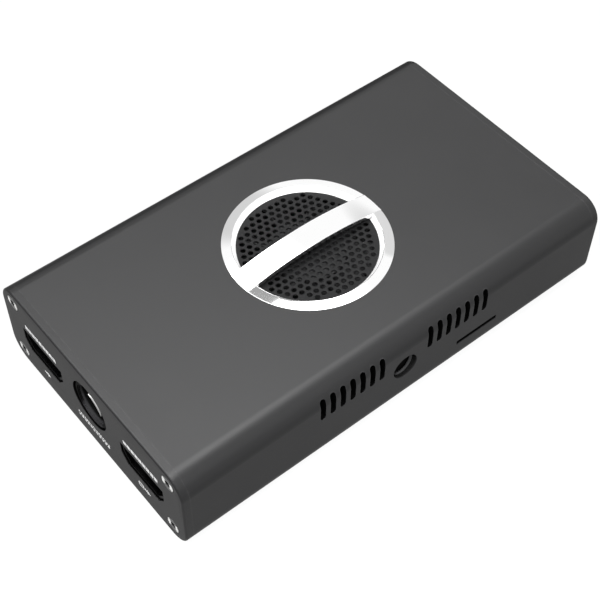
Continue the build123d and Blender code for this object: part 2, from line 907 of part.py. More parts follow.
def lan_contacts():
    """Contact strips under the roof of the network port."""
    roof = board_top + lan_cavity_bottom + lan_cavity_height
    x = rear_port_front - lan_cavity_length + lan_contact_length / 2
    strips = []
    for index in range(lan_contact_count):
        y = lan_y + (index - (lan_contact_count - 1) / 2) * lan_contact_pitch
        strips.append(block(lan_contact_length, lan_contact_width, lan_contact_thickness, x, y,
                            roof - lan_contact_thickness))
    return solids_of(strips)


def data_outline(grow):
    """The small port's rounded outline, grown on all sides."""
    return SlotOverall(data_width + 2 * grow, data_height + 2 * grow)


def data_shell():
    section = data_outline(0) - data_outline(-data_wall)
    return across(Pos(data_y, data_z) * section, rear_port_front - data_length, rear_port_front)


def data_tongue():
    """The tongue and the back wall that closes the shell."""
    start = rear_port_front - data_length
    place = Pos(data_y, data_z)
    tongue = Rectangle(data_tongue_width, data_tongue_thickness)
    body = across(place * tongue, start, rear_port_front - data_tongue_recess)
    return body + across(place * data_outline(-data_wall), start, start + data_back)


def reset_switch():
    """The switch's body on the board, bored for the plunger's stem."""
    front = reset_cap_back - reset_travel - reset_stop_gap
    body = block(switch_length, switch_width, switch_height, front - switch_length / 2, reset_y, board_top)
    bore_radius = reset_stem_radius + reset_stem_gap
    return body - rod_x(bore_radius, front - reset_stem_length, front, reset_y, reset_z)


def reset_button():
    """The plunger: a round cap in the panel and a stem that reaches into the switch."""
    cap = rod_x(reset_cap_radius, reset_cap_back, half_length - reset_flush_gap, reset_y, reset_z)
    stem = rod_x(reset_stem_radius, reset_cap_back - reset_stem_length, reset_cap_back, reset_y, reset_z)
    return cap + stem


def light_guides():
    start = half_length - guide_length
    return solids_of([rod_x(light_radius, start, half_length, y, reset_z) for y in light_places])


def status_leds():
    x = half_length - guide_length - led_length / 2
    height = reset_lift + light_radius
    return solids_of([block(led_length, led_width, height, x, y, board_top) for y in light_places])


# Loose parts on the board


def power_coils():
    coils = []
    for index in range(coil_count):
        y = rail_margin + coil_size / 2 - free_half_width + index * coil_pitch
        coil = block(coil_size, coil_size, coil_height, coil_x, y, board_top)
        coils.append(chamfer(coil.edges().filter_by(Axis.Z), coil_corner))
    return solids_of(coils)


def capacitors():
    cans = []
    for index in range(can_count):
        y = free_half_width - rail_margin - can_radius - index * can_pitch
        base = block(2 * can_radius, 2 * can_radius, can_base_height, coil_x, y, board_top)
        cans.append(base + rod_z(can_radius, board_top, board_top + can_height, coil_x, y))
    return solids_of(cans)


def transformer():
    body = block(transformer_length, transformer_width, transformer_height,
                 transformer_x, transformer_y, board_top)
    return chamfer(body.faces().sort_by(Axis.Z)[-1].edges(), transformer_chamfer)


def fan_header():
    """A small open socket for the fan's plug."""
    body = block(header_width, header_length, header_height, header_x, header_y, board_top)
    room_x = header_width - 2 * header_wall
    room_y = header_length - 2 * header_wall
    room_height = header_height - header_floor
    return body - block(room_x, room_y, room_height, header_x, header_y, board_top + header_floor)


def header_pins():
    pins = []
    height = header_height - header_floor - header_pin_drop
    for index in range(header_pin_count):
        y = header_y + (index - (header_pin_count - 1) / 2) * header_pin_pitch
        pins.append(block(header_pin_size, header_pin_size, height, header_x, y, board_top + header_floor))
    return solids_of(pins)


parts = {
    "sleeve": sleeve(),
    "front_panel": front_panel(),
    "rear_panel": rear_panel(),
    "front_panel_screws": panel_screws(-half_length, 1),
    "rear_panel_screws": panel_screws(half_length, -1),
    "tripod_bush": tripod_bush(),
    "badge_ring": badge_ring(),
    "grille_mesh": grille_mesh(),
    "main_board": main_board(),
    "main_chip": main_chip(),
    "memory_chips": memory_chips(),
    "thermal_pad": thermal_pad(),
    "heat_sink": heat_sink(),
    "heat_sink_standoffs": sink_standoffs(),
    "heat_sink_screws": sink_screws(),
    "fan_frame": fan_frame(),
    "fan_bearing": fan_bearing(),
    "fan_stator": fan_stator(),
    "fan_rotor": fan_rotor(),
    "fan_magnet": fan_magnet(),
    "fan_shaft": fan_shaft(),
    "fan_screws": fan_screws(),
    "video_in_shell": video_shell(video_port_y),
    "video_in_insulator": video_insulator(video_port_y),
    "video_in_contacts": video_contacts(video_port_y),
    "video_out_shell": video_shell(-video_port_y),
    "video_out_insulator": video_insulator(-video_port_y),
    "video_out_contacts": video_contacts(-video_port_y),
    "power_barrel": power_barrel(),
    "power_body": power_body(),
    "power_pins": power_pins(),
    "card_socket_base": card_socket_base(),
    "card_socket_cover": card_socket_cover(),
    "network_shield": lan_shield_can(),
    "network_housing": lan_housing(),
    "network_contacts": lan_contacts(),
    "data_shell": data_shell(),
    "data_tongue": data_tongue(),
    "reset_switch": reset_switch(),
    "reset_button": reset_button(),
    "light_guides": light_guides(),
    "status_leds": status_leds(),
    "power_coils": power_coils(),
    "capacitors": capacitors(),
    "network_transformer": transformer(),
    "fan_header": fan_header(),
    "fan_header_pins": header_pins(),
}

os.makedirs("parts", exist_ok=True)
for name, part in parts.items():
    export_step(part, f"parts/{name}.step")
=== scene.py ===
import json
import logging
import math
from abc import ABC, abstractmethod
from dataclasses import dataclass, field
from enum import Enum
from typing import Any, Callable, Iterable, Sequence

import bmesh
import bpy
from mathutils import Matrix, Vector

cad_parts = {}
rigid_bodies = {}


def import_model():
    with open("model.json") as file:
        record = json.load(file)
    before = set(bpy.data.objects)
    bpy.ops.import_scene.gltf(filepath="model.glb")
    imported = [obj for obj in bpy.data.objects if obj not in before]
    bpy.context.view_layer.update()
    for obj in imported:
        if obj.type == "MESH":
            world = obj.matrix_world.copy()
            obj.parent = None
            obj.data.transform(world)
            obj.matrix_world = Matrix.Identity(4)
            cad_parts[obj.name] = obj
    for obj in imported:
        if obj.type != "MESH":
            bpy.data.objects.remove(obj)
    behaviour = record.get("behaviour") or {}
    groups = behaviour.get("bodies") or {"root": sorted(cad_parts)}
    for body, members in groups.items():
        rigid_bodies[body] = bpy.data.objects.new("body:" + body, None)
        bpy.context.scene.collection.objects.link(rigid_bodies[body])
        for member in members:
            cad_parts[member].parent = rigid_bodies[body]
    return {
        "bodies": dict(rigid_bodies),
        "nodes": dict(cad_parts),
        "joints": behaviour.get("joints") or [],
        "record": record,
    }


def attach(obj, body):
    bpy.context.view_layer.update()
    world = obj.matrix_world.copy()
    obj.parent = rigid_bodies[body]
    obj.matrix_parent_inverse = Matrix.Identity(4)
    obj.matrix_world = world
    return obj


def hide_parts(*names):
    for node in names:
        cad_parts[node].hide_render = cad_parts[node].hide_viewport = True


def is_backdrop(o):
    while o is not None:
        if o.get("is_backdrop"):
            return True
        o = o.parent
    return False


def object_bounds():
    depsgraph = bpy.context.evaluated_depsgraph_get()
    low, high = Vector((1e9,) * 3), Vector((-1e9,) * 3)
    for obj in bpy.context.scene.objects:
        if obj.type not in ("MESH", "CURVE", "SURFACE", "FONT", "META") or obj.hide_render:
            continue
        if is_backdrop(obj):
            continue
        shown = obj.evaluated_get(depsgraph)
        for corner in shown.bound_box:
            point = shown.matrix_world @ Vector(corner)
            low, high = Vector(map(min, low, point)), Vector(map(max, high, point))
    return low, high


# Sizes are in millimetres and angles in degrees, unless a docstring says otherwise.
MM = 0.001
FULL_TURN = 2 * math.pi
WHITE = (1.0, 1.0, 1.0)
SHARP = math.radians(34)
FLAT = math.radians(0.4)
SAME_POINT = 1e-7
NOISE_MIDDLE = 0.5
EDGE_LIKENESS = (0.78, 0.995)

Point = tuple[float, float]
Triple = tuple[float, float, float]
Spot = tuple[float, float, float, float]
Socket = bpy.types.NodeSocket
Node = bpy.types.Node
Thing = bpy.types.Object

logging.basicConfig(level=logging.INFO, format="%(message)s")
log = logging.getLogger("encoder")


class Body(Enum):
    """The rigid bodies that pieces ride on."""

    CASE = "case"
    FAN = "fan"
    RESET = "reset"


class Slot(Enum):
    """The material slots of the record."""

    CASE = "case_finish"
    PANEL = "panel_finish"
    SCREW = "screw_steel"
    BUSH = "bush_steel"
    POLISHED = "polished_metal"
    GRILLE = "grille_finish"
    BOARD = "board"
    CHIP_LID = "chip_lid"
    CHIP_BODY = "chip_body"
    HEAT_PAD = "heat_pad"
    SINK = "sink_metal"
    FAN = "fan_plastic"
    COIL = "coil_metal"
    MAGNET = "magnet"
    # Painted shade: a darkened copy of the port metal, for the front video shells.
    SHADED_PORT = "dark_port_metal"
    PORT_METAL = "port_metal"
    PORT_PLASTIC = "port_plastic"
    COLLAR = "collar_plastic"
    CONTACT = "contact_metal"
    BUTTON = "button_plastic"
    GUIDE = "light_guide"
    LED = "led_body"
    CAN = "can_metal"
    HEADER = "header_plastic"


class Value:
    """A number that varies over a surface, held as one shader socket."""

    def __init__(self, shader: "Tree", socket: Socket) -> None:
        """Keeps the tree that owns the socket."""
        self.shader = shader
        self.socket = socket

    def __add__(self, other: "Number") -> "Value":
        """Sum."""
        return self.shader.math("ADD", self, other)

    def __radd__(self, other: "Number") -> "Value":
        """Sum, with the number first."""
        return self.shader.math("ADD", other, self)

    def __sub__(self, other: "Number") -> "Value":
        """Difference."""
        return self.shader.math("SUBTRACT", self, other)

    def __rsub__(self, other: "Number") -> "Value":
        """Difference, with the number first."""
        return self.shader.math("SUBTRACT", other, self)

    def __mul__(self, other: "Number") -> "Value":
        """Product."""
        return self.shader.math("MULTIPLY", self, other)

    def __rmul__(self, other: "Number") -> "Value":
        """Product, with the number first."""
        return self.shader.math("MULTIPLY", other, self)

    def __truediv__(self, other: "Number") -> "Value":
        """Quotient."""
        return self.shader.math("DIVIDE", self, other)

    def __abs__(self) -> "Value":
        """Size without sign."""
        return self.shader.math("ABSOLUTE", self)

    def above(self, level: float) -> "Value":
        """1 where the value is over the level, else 0."""
        return self.shader.math("GREATER_THAN", self, level)

    def swing(self, amount: float) -> "Value":
        """Noise as a change up and down round 0, by half the amount each way."""
        return amount * (self - NOISE_MIDDLE)

    def rise(self, low: float, high: float) -> "Value":
        """A smooth step from 0 to 1.

        Args:
            low: where it leaves 0.
            high: where it reaches 1.

        Returns:
            The step.
        """
        settings = {"interpolation_type": "SMOOTHSTEP", "clamp": True}
        inputs = {"Value": self, "From Min": low, "From Max": high}
        node = self.shader.node("ShaderNodeMapRange", settings, inputs)
        return Value(self.shader, node.outputs["Result"])


Number = Value | float


class Tree:
    """A node tree in the making."""

    def __init__(self, tree: bpy.types.NodeTree) -> None:
        """Empties the tree.

        Args:
            tree: the tree.
        """
        self.tree = tree
        tree.nodes.clear()

    def plug(self, socket: Socket, value: Any) -> None:
        """Links or sets one input.

        Args:
            socket: the input.
            value: a Value, a socket, a number or a colour of three numbers.
        """
        if isinstance(value, Value):
            value = value.socket
        if isinstance(value, bpy.types.NodeSocket):
            self.tree.links.new(value, socket)
        elif isinstance(value, tuple) and socket.type == "RGBA":
            socket.default_value = (*value, 1.0)
        else:
            socket.default_value = value

    def node(self, kind: str, settings: dict[str, Any] | None = None,
             inputs: dict[str | int, Any] | None = None) -> Node:
        """Adds any node.

        Args:
            kind: the node's type.
            settings: its own settings, set first.
            inputs: values or links, by socket name or number.

        Returns:
            The new node.
        """
        made = self.tree.nodes.new(kind)
        for key, value in (settings or {}).items():
            setattr(made, key, value)
        for key, value in (inputs or {}).items():
            self.plug(made.inputs[key], value)
        return made

    def math(self, operation: str, *values: Number) -> Value:
        """Adds a Math node.

        Args:
            operation: the node's operation.
            values: one or two numbers or Values.

        Returns:
            The result.
        """
        made = self.node("ShaderNodeMath", {"operation": operation}, dict(enumerate(values)))
        return Value(self, made.outputs[0])

    def mix(self, factor: Number, low: Any, high: Any) -> Socket:
        """Mixes two colours.

        Args:
            factor: 0 gives low and 1 gives high.
            low: a colour or a socket.
            high: a colour or a socket.

        Returns:
            The colour's socket.
        """
        made = self.node("ShaderNodeMix", {"data_type": "RGBA"}, {0: factor, 6: low, 7: high})
        return made.outputs[2]


class Shader(Tree):
    """A material in the making, with one Principled shader as its surface."""

    def __init__(self, name: str) -> None:
        """Starts an empty material.

        Args:
            name: the material's name.
        """
        self.material = bpy.data.materials.new(name)
        self.material.use_nodes = True
        super().__init__(self.material.node_tree)
        self.output = self.node("ShaderNodeOutputMaterial")
        self.surface = self.node("ShaderNodeBsdfPrincipled")
        self.plug(self.output.inputs["Surface"], self.surface.outputs["BSDF"])

    def place(self, stretch: Triple = (1.0, 1.0, 1.0)) -> Socket:
        """The point on the object, in metres, stretched on each axis."""
        point = self.node("ShaderNodeTexCoord").outputs["Object"]
        inputs = {0: point, 1: stretch}
        return self.node("ShaderNodeVectorMath", {"operation": "MULTIPLY"}, inputs).outputs[0]

    def axes(self) -> tuple[Value, Value, Value]:
        """The point's x, y and z, in millimetres."""
        split = self.node("ShaderNodeSeparateXYZ", None, {0: self.place((1 / MM, 1 / MM, 1 / MM))})
        return tuple(Value(self, socket) for socket in split.outputs)

    def noise(self, size: float, detail: float = 2.0, roughness: float = 0.5,
              stretch: Triple = (1.0, 1.0, 1.0)) -> Value:
        """Soft noise from 0 to 1.

        Args:
            size: the size of its features, in millimetres.
            detail: how many finer layers it has.
            roughness: how strong the finer layers are.
            stretch: how much each axis is squeezed.

        Returns:
            The noise.
        """
        inputs = {
            "Vector": self.place(stretch),
            "Scale": 1 / (size * MM),
            "Detail": detail,
            "Roughness": roughness,
        }
        made = self.node("ShaderNodeTexNoise", {"noise_dimensions": "3D"}, inputs)
        return Value(self, made.outputs["Fac"])

    def grain(self, size: float, stretch: Triple = (1.0, 1.0, 1.0)) -> Value:
        """Noise from 0 to 1 with strong fine layers, for grain, scratches and tool marks."""
        return self.noise(size, detail=3.0, roughness=0.6, stretch=stretch)

    def edges(self, radius: float) -> Value:
        """How close a point is to a sharp edge, from 0 to 1.

        Args:
            radius: the width of the band along each edge, in millimetres.

        Returns:
            The nearness.
        """
        rounded = self.node("ShaderNodeBevel", {"samples": 4}, {"Radius": radius * MM})
        plain = self.node("ShaderNodeNewGeometry")
        inputs = {0: rounded.outputs["Normal"], 1: plain.outputs["Normal"]}
        dot = self.node("ShaderNodeVectorMath", {"operation": "DOT_PRODUCT"}, inputs)
        return 1 - Value(self, dot.outputs["Value"]).rise(*EDGE_LIKENESS)

    def bump(self, height: Value, depth: float, strength: float = 1.0) -> None:
        """Presses a relief into the surface.

        Args:
            height: the relief, from 0 to 1.
            depth: its depth in millimetres.
            strength: how much of it shows.
        """
        inputs = {"Height": height, "Distance": depth * MM, "Strength": strength}
        made = self.node("ShaderNodeBump", None, inputs)
        self.plug(self.surface.inputs["Normal"], made.outputs["Normal"])

    def blend(self, factor: Value, other: Node) -> None:
        """Lets another surface take over.

        Args:
            factor: 1 where it does.
            other: the other surface's node.
        """
        inputs = {0: factor, 1: self.surface.outputs["BSDF"], 2: other.outputs[0]}
        both = self.node("ShaderNodeMixShader", None, inputs)
        self.plug(self.output.inputs["Surface"], both.outputs[0])

    def set(self, **constants: Any) -> None:
        """Sets or links the surface's own sockets, named with underscores for spaces."""
        for key, value in constants.items():
            self.plug(self.surface.inputs[key.replace("_", " ")], value)


def shade(colour: Triple, factor: float) -> Triple:
    """A colour made lighter or darker."""
    return tuple(min(1.0, channel * factor) for channel in colour)


@dataclass(frozen=True)
class Finish(ABC):
    """What every finish has: a plain colour that slow noise makes uneven."""

    colour: Triple
    roughness: float = 0.5
    metallic: float = 0.0
    unevenness: float = 0.06
    patch_size: float = 9.0
    gloss_swing: float = 0.1
    edge_amount: float = 0.3
    edge_width: float = 0.2
    edge_gain: float = 1.2

    def build(self, name: str) -> bpy.types.Material:
        """Makes the material.

        Args:
            name: the material's name.

        Returns:
            The material.
        """
        shader = Shader(name)
        shader.set(Metallic=self.metallic)
        self.paint(shader)
        return shader.material

    def patches(self, shader: Shader) -> Value:
        """Slow, soft noise that varies the tone."""
        return shader.noise(self.patch_size, detail=3.0)

    def tone(self, shader: Shader, patches: Value) -> Socket:
        """The colour, varied a little.

        Args:
            shader: the material in the making.
            patches: what varies it, from 0 to 1.

        Returns:
            The colour's socket.
        """
        low = shade(self.colour, 1 - self.unevenness)
        high = shade(self.colour, 1 + self.unevenness)
        return shader.mix(patches, low, high)

    def worn_tone(self, shader: Shader, patches: Value) -> Socket:
        """The varied colour, lighter along the sharp edges."""
        worn = self.edge_amount * shader.edges(self.edge_width)
        return shader.mix(worn, self.tone(shader, patches), shade(self.colour, self.edge_gain))

    @abstractmethod
    def paint(self, shader: Shader) -> None:
        """Fills in the surface.

        Args:
            shader: the material in the making.
        """


@dataclass(frozen=True)
class BlastedMetal(Finish):
    """Bead-blasted and anodised aluminium, a little lighter along its edges."""

    grain_size: float = 0.16
    grain_depth: float = 0.012
    grain_gloss: float = 0.12
    gloss_swing: float = 0.08
    fleck_ratio: float = 2.5
    fleck_band: Point = (0.5, 0.75)
    fleck_amount: float = 0.12
    fleck_gain: float = 1.6
    edge_colour: Triple = (0.07, 0.07, 0.072)
    edge_width: float = 0.5
    edge_amount: float = 0.35
    wear_size: float = 2.0
    wear_band: Point = (0.2, 0.8)

    def paint(self, shader: Shader) -> None:
        """Fills in the surface.

        Args:
            shader: the material in the making.
        """
        patches = self.patches(shader)
        grain = shader.grain(self.grain_size)
        flecks = shader.noise(self.grain_size * self.fleck_ratio).rise(*self.fleck_band)
        light = shade(self.colour, self.fleck_gain)
        tone = shader.mix(self.fleck_amount * flecks, self.tone(shader, patches), light)
        wear = shader.noise(self.wear_size, detail=4.0).rise(*self.wear_band)
        worn = self.edge_amount * shader.edges(self.edge_width) * wear
        shader.set(
            Base_Color=shader.mix(worn, tone, self.edge_colour),
            Roughness=self.roughness + grain.swing(self.grain_gloss) + patches.swing(self.gloss_swing),
        )
        shader.bump(grain, self.grain_depth, strength=0.6)


@dataclass(frozen=True)
class SleeveMetal(BlastedMetal):
    """The sleeve's finish: blasted outside, with painted shade, a near-black diffuse colour, in every
    cut through the wall.
    """

    half_width: float = 34.15
    half_height: float = 12.15
    corner_radius: float = 5.4
    shade_from: float = 0.05
    shade_full: float = 0.2
    hole_half_width: float = 4.0
    hole_shade_colour: Triple = (0.008, 0.008, 0.008)
    cut_shade_colour: Triple = (0.002, 0.002, 0.002)

    def depth(self, shader: Shader, y: Value, z: Value) -> Value:
        """How far a point lies under the outer skin.

        Args:
            shader: the material in the making.
            y: the point's y, in millimetres.
            z: its z, in millimetres.

        Returns:
            The depth, in millimetres.
        """
        flat_y, flat_z = self.half_width - self.corner_radius, self.half_height - self.corner_radius
        over_y = shader.math("MAXIMUM", abs(y) - flat_y, 0.0)
        over_z = shader.math("MAXIMUM", abs(z - self.half_height) - flat_z, 0.0)
        return self.corner_radius - shader.math("SQRT", over_y * over_y + over_z * over_z)

    def painted_shade(self, shader: Shader) -> Value:
        """Where painted shade takes over from the plain surface: 1 in the cuts."""
        _, y, z = shader.axes()
        return self.depth(shader, y, z).rise(self.shade_from, self.shade_full)

    def paint(self, shader: Shader) -> None:
        """Fills in the surface.

        Args:
            shader: the material in the making.
        """
        super().paint(shader)
        x = shader.axes()[0]
        # Painted shade: a dark diffuse surface over the cuts, darkest away from the tripod hole.
        colour = shader.mix(abs(x).above(self.hole_half_width), self.hole_shade_colour, self.cut_shade_colour)
        shaded = shader.node("ShaderNodeBsdfDiffuse", None, {"Color": colour})
        shader.blend(self.painted_shade(shader), shaded)


@dataclass(frozen=True)
class PanelMetal(SleeveMetal):
    """The end panels' finish: the same outside, with painted shade, a near-black diffuse colour, in the
    port openings.
    """

    face: float = 60.0
    rim: float = 0.6

    def painted_shade(self, shader: Shader) -> Value:
        """Where painted shade covers the surface.

        Args:
            shader: the material in the making.

        Returns:
            1 behind the face and away from the rim.
        """
        x, y, z = shader.axes()
        inside = self.depth(shader, y, z).above(self.rim)
        # Painted shade behind the panel's face, away from the outer rim.
        return inside * (self.face - abs(x)).rise(self.shade_from, self.shade_full)


@dataclass(frozen=True)
class ThreadMetal(SleeveMetal):
    """The tripod bush's finish: steel outside and on the first crest, and painted shade in the bore."""

    bore_height: float = 13.5
    bore_radius: float = 3.25
    bore_blur: float = 0.1
    crest: Point = (2.98, 3.1)
    first_turn: Point = (-32.4, -32.15)
    hole_shade_colour: Triple = (0.003, 0.003, 0.003)

    def painted_shade(self, shader: Shader) -> Value:
        """Where painted shade covers the bore.

        Args:
            shader: the material in the making.

        Returns:
            1 in the valleys and behind the first turn.
        """
        x, y, z = shader.axes()
        over = z - self.bore_height
        radius = shader.math("SQRT", x * x + over * over)
        # Left lit: inside the crest's radius and before the first turn; painted shade covers the rest
        # of the bore.
        lit = (1 - radius.rise(*self.crest)) * (1 - y.rise(*self.first_turn))
        return (1 - radius.rise(self.bore_radius, self.bore_radius + self.bore_blur)) * (1 - lit)


@dataclass(frozen=True)
class SpunMetal(Finish):
    """Polished metal: turning marks round Z, straight marks along the bar, and a satin inner wall."""

    bar_half_width: float = 3.05
    bar_blur: float = 0.05
    face_radius: float = 17.25
    face_blur: float = 0.1
    wall_roughness: float = 0.35
    wall_metal: float = 0.3
    mark_size: float = 0.09
    mark_depth: float = 0.0004
    mark_gloss: float = 0.02
    turned_stretch: Point = (0.6, 0.2)
    straight_stretch: Triple = (0.02, 1.0, 0.3)
    smudge_band: Point = (0.45, 0.8)
    smudge_gloss: float = 0.03

    def paint(self, shader: Shader) -> None:
        """Fills in the surface.

        Args:
            shader: the material in the making.
        """
        x, y, z = shader.axes()
        radius = shader.math("SQRT", x * x + y * y)
        angle = shader.math("ARCTAN2", y, x)
        round_z, up_z = self.turned_stretch
        turned = shader.node("ShaderNodeCombineXYZ", None, {0: radius, 1: angle * round_z, 2: z * up_z})
        inputs = {"Vector": turned.outputs[0], "Scale": 1 / self.mark_size, "Detail": 3.0}
        rings = Value(shader, shader.node("ShaderNodeTexNoise", None, inputs).outputs["Fac"])
        straight = shader.noise(self.mark_size, detail=3.0, stretch=self.straight_stretch)
        on_bar = 1 - abs(y).rise(self.bar_half_width, self.bar_half_width + self.bar_blur)
        marks = rings * (1 - on_bar) + straight * on_bar
        smudge = self.patches(shader)
        wall = (1 - on_bar) * (1 - radius.rise(self.face_radius - self.face_blur, self.face_radius))
        dull = self.smudge_gloss * smudge.rise(*self.smudge_band)
        shader.set(
            Base_Color=self.tone(shader, smudge),
            Roughness=self.roughness + self.mark_gloss * marks + dull + self.wall_roughness * wall,
            Metallic=1 - (1 - self.wall_metal) * wall,
        )
        shader.bump(marks, self.mark_depth, strength=0.5)


@dataclass(frozen=True)
class PlatedMetal(Finish):
    """Plated or drawn metal with fine scratches and dull smudges."""

    metallic: float = 1.0
    roughness: float = 0.26
    edge_gain: float = 1.25
    scratch_size: float = 0.12
    scratch_depth: float = 0.004
    scratch_gloss: float = 0.15
    scratch_stretch: Triple = (1.0, 0.12, 0.5)
    smudge_band: Point = (0.5, 0.8)

    def paint(self, shader: Shader) -> None:
        """Fills in the surface.

        Args:
            shader: the material in the making.
        """
        patches = self.patches(shader)
        scratches = shader.grain(self.scratch_size, self.scratch_stretch)
        smudges = self.gloss_swing * patches.rise(*self.smudge_band)
        shader.set(
            Base_Color=self.worn_tone(shader, patches),
            Roughness=self.roughness + scratches.swing(self.scratch_gloss) + smudges,
        )
        shader.bump(scratches, self.scratch_depth, strength=0.5)


@dataclass(frozen=True)
class ScrewHead(PlatedMetal):
    """Plated screw heads with painted light: painted shade in the recess, darker at the rim, and a
    painted highlight to two sides.
    """

    heights: Point = (4.1, 20.9)
    side: float = 29.35
    recess_band: Point = (0.7, 0.9)
    rim_band: Point = (1.85, 2.0)
    rim_shade: float = 0.35
    glint_turn: Point = (0.6, 0.9)
    glint_inner: Point = (0.75, 1.0)
    glint_outer: Point = (1.8, 1.95)
    recess_shade_colour: Triple = (0.12, 0.12, 0.12)
    painted_glint_colour: Triple = (1.0, 1.0, 0.98)

    def tone(self, shader: Shader, patches: Value) -> Socket:
        """The plating's colour, with the recess's painted shade and the painted highlight, by how far a
        point is from its screw's axis and on which side.

        Args:
            shader: the material in the making.
            patches: what varies the colour, from 0 to 1.

        Returns:
            The colour's socket.
        """
        _, y, z = shader.axes()
        off_y = abs(y) - self.side
        off_z = shader.math("MINIMUM", abs(z - self.heights[0]), abs(z - self.heights[1]))
        radius = shader.math("SQRT", off_y * off_y + off_z * off_z)
        # Painted highlight: a bright white, non-metal patch to two sides of each head, standing in for
        # a reflection.
        turned = (abs(off_y) / radius).rise(*self.glint_turn) * radius.rise(*self.glint_inner)
        painted_glint = turned * (1 - radius.rise(*self.glint_outer))
        # Darker towards the rim.
        at_rim = radius.rise(*self.rim_band)
        plating = shader.mix(at_rim, super().tone(shader, patches), shade(self.colour, self.rim_shade))
        # Painted shade in the recess.
        recess_shaded = shader.mix(1 - radius.rise(*self.recess_band), plating, self.recess_shade_colour)
        shader.set(Metallic=1 - painted_glint)
        return shader.mix(painted_glint, recess_shaded, self.painted_glint_colour)


@dataclass(frozen=True)
class Moulding(Finish):
    """Moulded plastic with a spark-etched grain."""

    edge_amount: float = 0.2
    edge_width: float = 0.25
    edge_gain: float = 2.2
    grain_size: float = 0.3
    grain_depth: float = 0.012
    grain_gloss: float = 0.14
    specular: float = 0.35

    def paint(self, shader: Shader) -> None:
        """Fills in the surface.

        Args:
            shader: the material in the making.
        """
        patches = self.patches(shader)
        grain = shader.noise(self.grain_size, roughness=0.55)
        shader.set(
            Base_Color=self.worn_tone(shader, patches),
            Roughness=self.roughness + grain.swing(self.grain_gloss),
            Specular_IOR_Level=self.specular,
        )
        shader.bump(grain, self.grain_depth, strength=0.5)


@dataclass(frozen=True)
class CollarPlastic(Moulding):
    """The power collar's plastic in painted light and shade: a lit dark grey in front, and black as
    painted shade at its two sides and down the bore.
    """

    side: float = 0.2
    face: float = 60.0
    bore_depth: Point = (1.1, 1.6)
    front_depth: Point = (0.8, 1.0)
    side_reach: Point = (3.2, 4.4)
    lit_colour: Triple = (0.038, 0.038, 0.04)

    def tone(self, shader: Shader, patches: Value) -> Socket:
        """The plastic's colour with painted light and shade, by how deep a point lies and how far to
        one side.

        Args:
            shader: the material in the making.
            patches: what varies the colour, from 0 to 1.

        Returns:
            The colour's socket.
        """
        x, y, _ = shader.axes()
        depth = self.face - abs(x)
        # Painted shade at the two sides near the front and down the bore; the rest of the front gets
        # the painted lit grey.
        side_shade = abs(y - self.side).rise(*self.side_reach) * (1 - depth.rise(*self.front_depth))
        shaded = shader.math("MAXIMUM", depth.rise(*self.bore_depth), side_shade)
        return shader.mix(shaded, self.lit_colour, super().tone(shader, patches))


@dataclass(frozen=True)
class SolderMask(Finish):
    """A circuit board: lacquer over copper tracks, with plated vias."""

    track_pitch: float = 1.1
    bands_per_cell: float = 6.0
    track_spread: float = 1.0
    track_side: Point = (0.28, 0.33)
    track_gain: float = 1.9
    via_pitch: float = 2.3
    via_spread: float = 0.8
    via_rim: Point = (0.1, 0.13)
    via_metal: float = 0.8
    via_colour: Triple = (0.62, 0.5, 0.28)
    relief: float = 0.035
    via_relief: float = 0.5

    def cells(self, shader: Shader, pitch: float, spread: float, distance: str) -> Value:
        """How far a point is from the middle of its cell.

        Args:
            shader: the material in the making.
            pitch: the size of a cell, in millimetres.
            spread: how far the middles are shuffled, from 0 to 1.
            distance: the node's way of measuring.

        Returns:
            The distance, in cells.
        """
        inputs = {"Vector": shader.place(), "Scale": 1 / (pitch * MM), "Randomness": spread}
        made = shader.node("ShaderNodeTexVoronoi", {"feature": "F1", "distance": distance}, inputs)
        return Value(shader, made.outputs["Distance"])

    def paint(self, shader: Shader) -> None:
        """Fills in the surface.

        Args:
            shader: the material in the making.
        """
        patches = self.patches(shader)
        cell = self.bands_per_cell * self.track_pitch
        bands = self.bands_per_cell * self.cells(shader, cell, self.track_spread, "CHEBYCHEV")
        tracks = shader.math("PINGPONG", bands, 0.5).rise(*self.track_side)
        vias = 1 - self.cells(shader, self.via_pitch, self.via_spread, "EUCLIDEAN").rise(*self.via_rim)
        green = shader.mix(tracks, self.tone(shader, patches), shade(self.colour, self.track_gain))
        shader.set(
            Base_Color=shader.mix(vias, green, self.via_colour),
            Roughness=self.roughness - self.gloss_swing * tracks,
            Metallic=self.via_metal * vias,
        )
        shader.bump(tracks + self.via_relief * vias, self.relief, strength=0.8)


@dataclass(frozen=True)
class Winding(Finish):
    """Lacquered copper wire, wound in fine turns, with painted shade in the grooves between them."""

    wire: float = 0.22
    wave: float = 0.05
    groove_shade: float = 0.45
    groove_depth: float = 0.08

    def paint(self, shader: Shader) -> None:
        """Fills in the surface.

        Args:
            shader: the material in the making.
        """
        patches = self.patches(shader)
        _, _, z = shader.axes()
        turns = shader.math("PINGPONG", z + self.wave * patches, self.wire / 2) / (self.wire / 2)
        # Painted shade: the grooves between the turns are darkened.
        groove_painted_shade = shade(self.colour, self.groove_shade)
        shader.set(
            Base_Color=shader.mix(turns, groove_painted_shade, self.tone(shader, patches)),
            Roughness=self.roughness + patches.swing(self.gloss_swing),
        )
        shader.bump(turns, self.groove_depth)


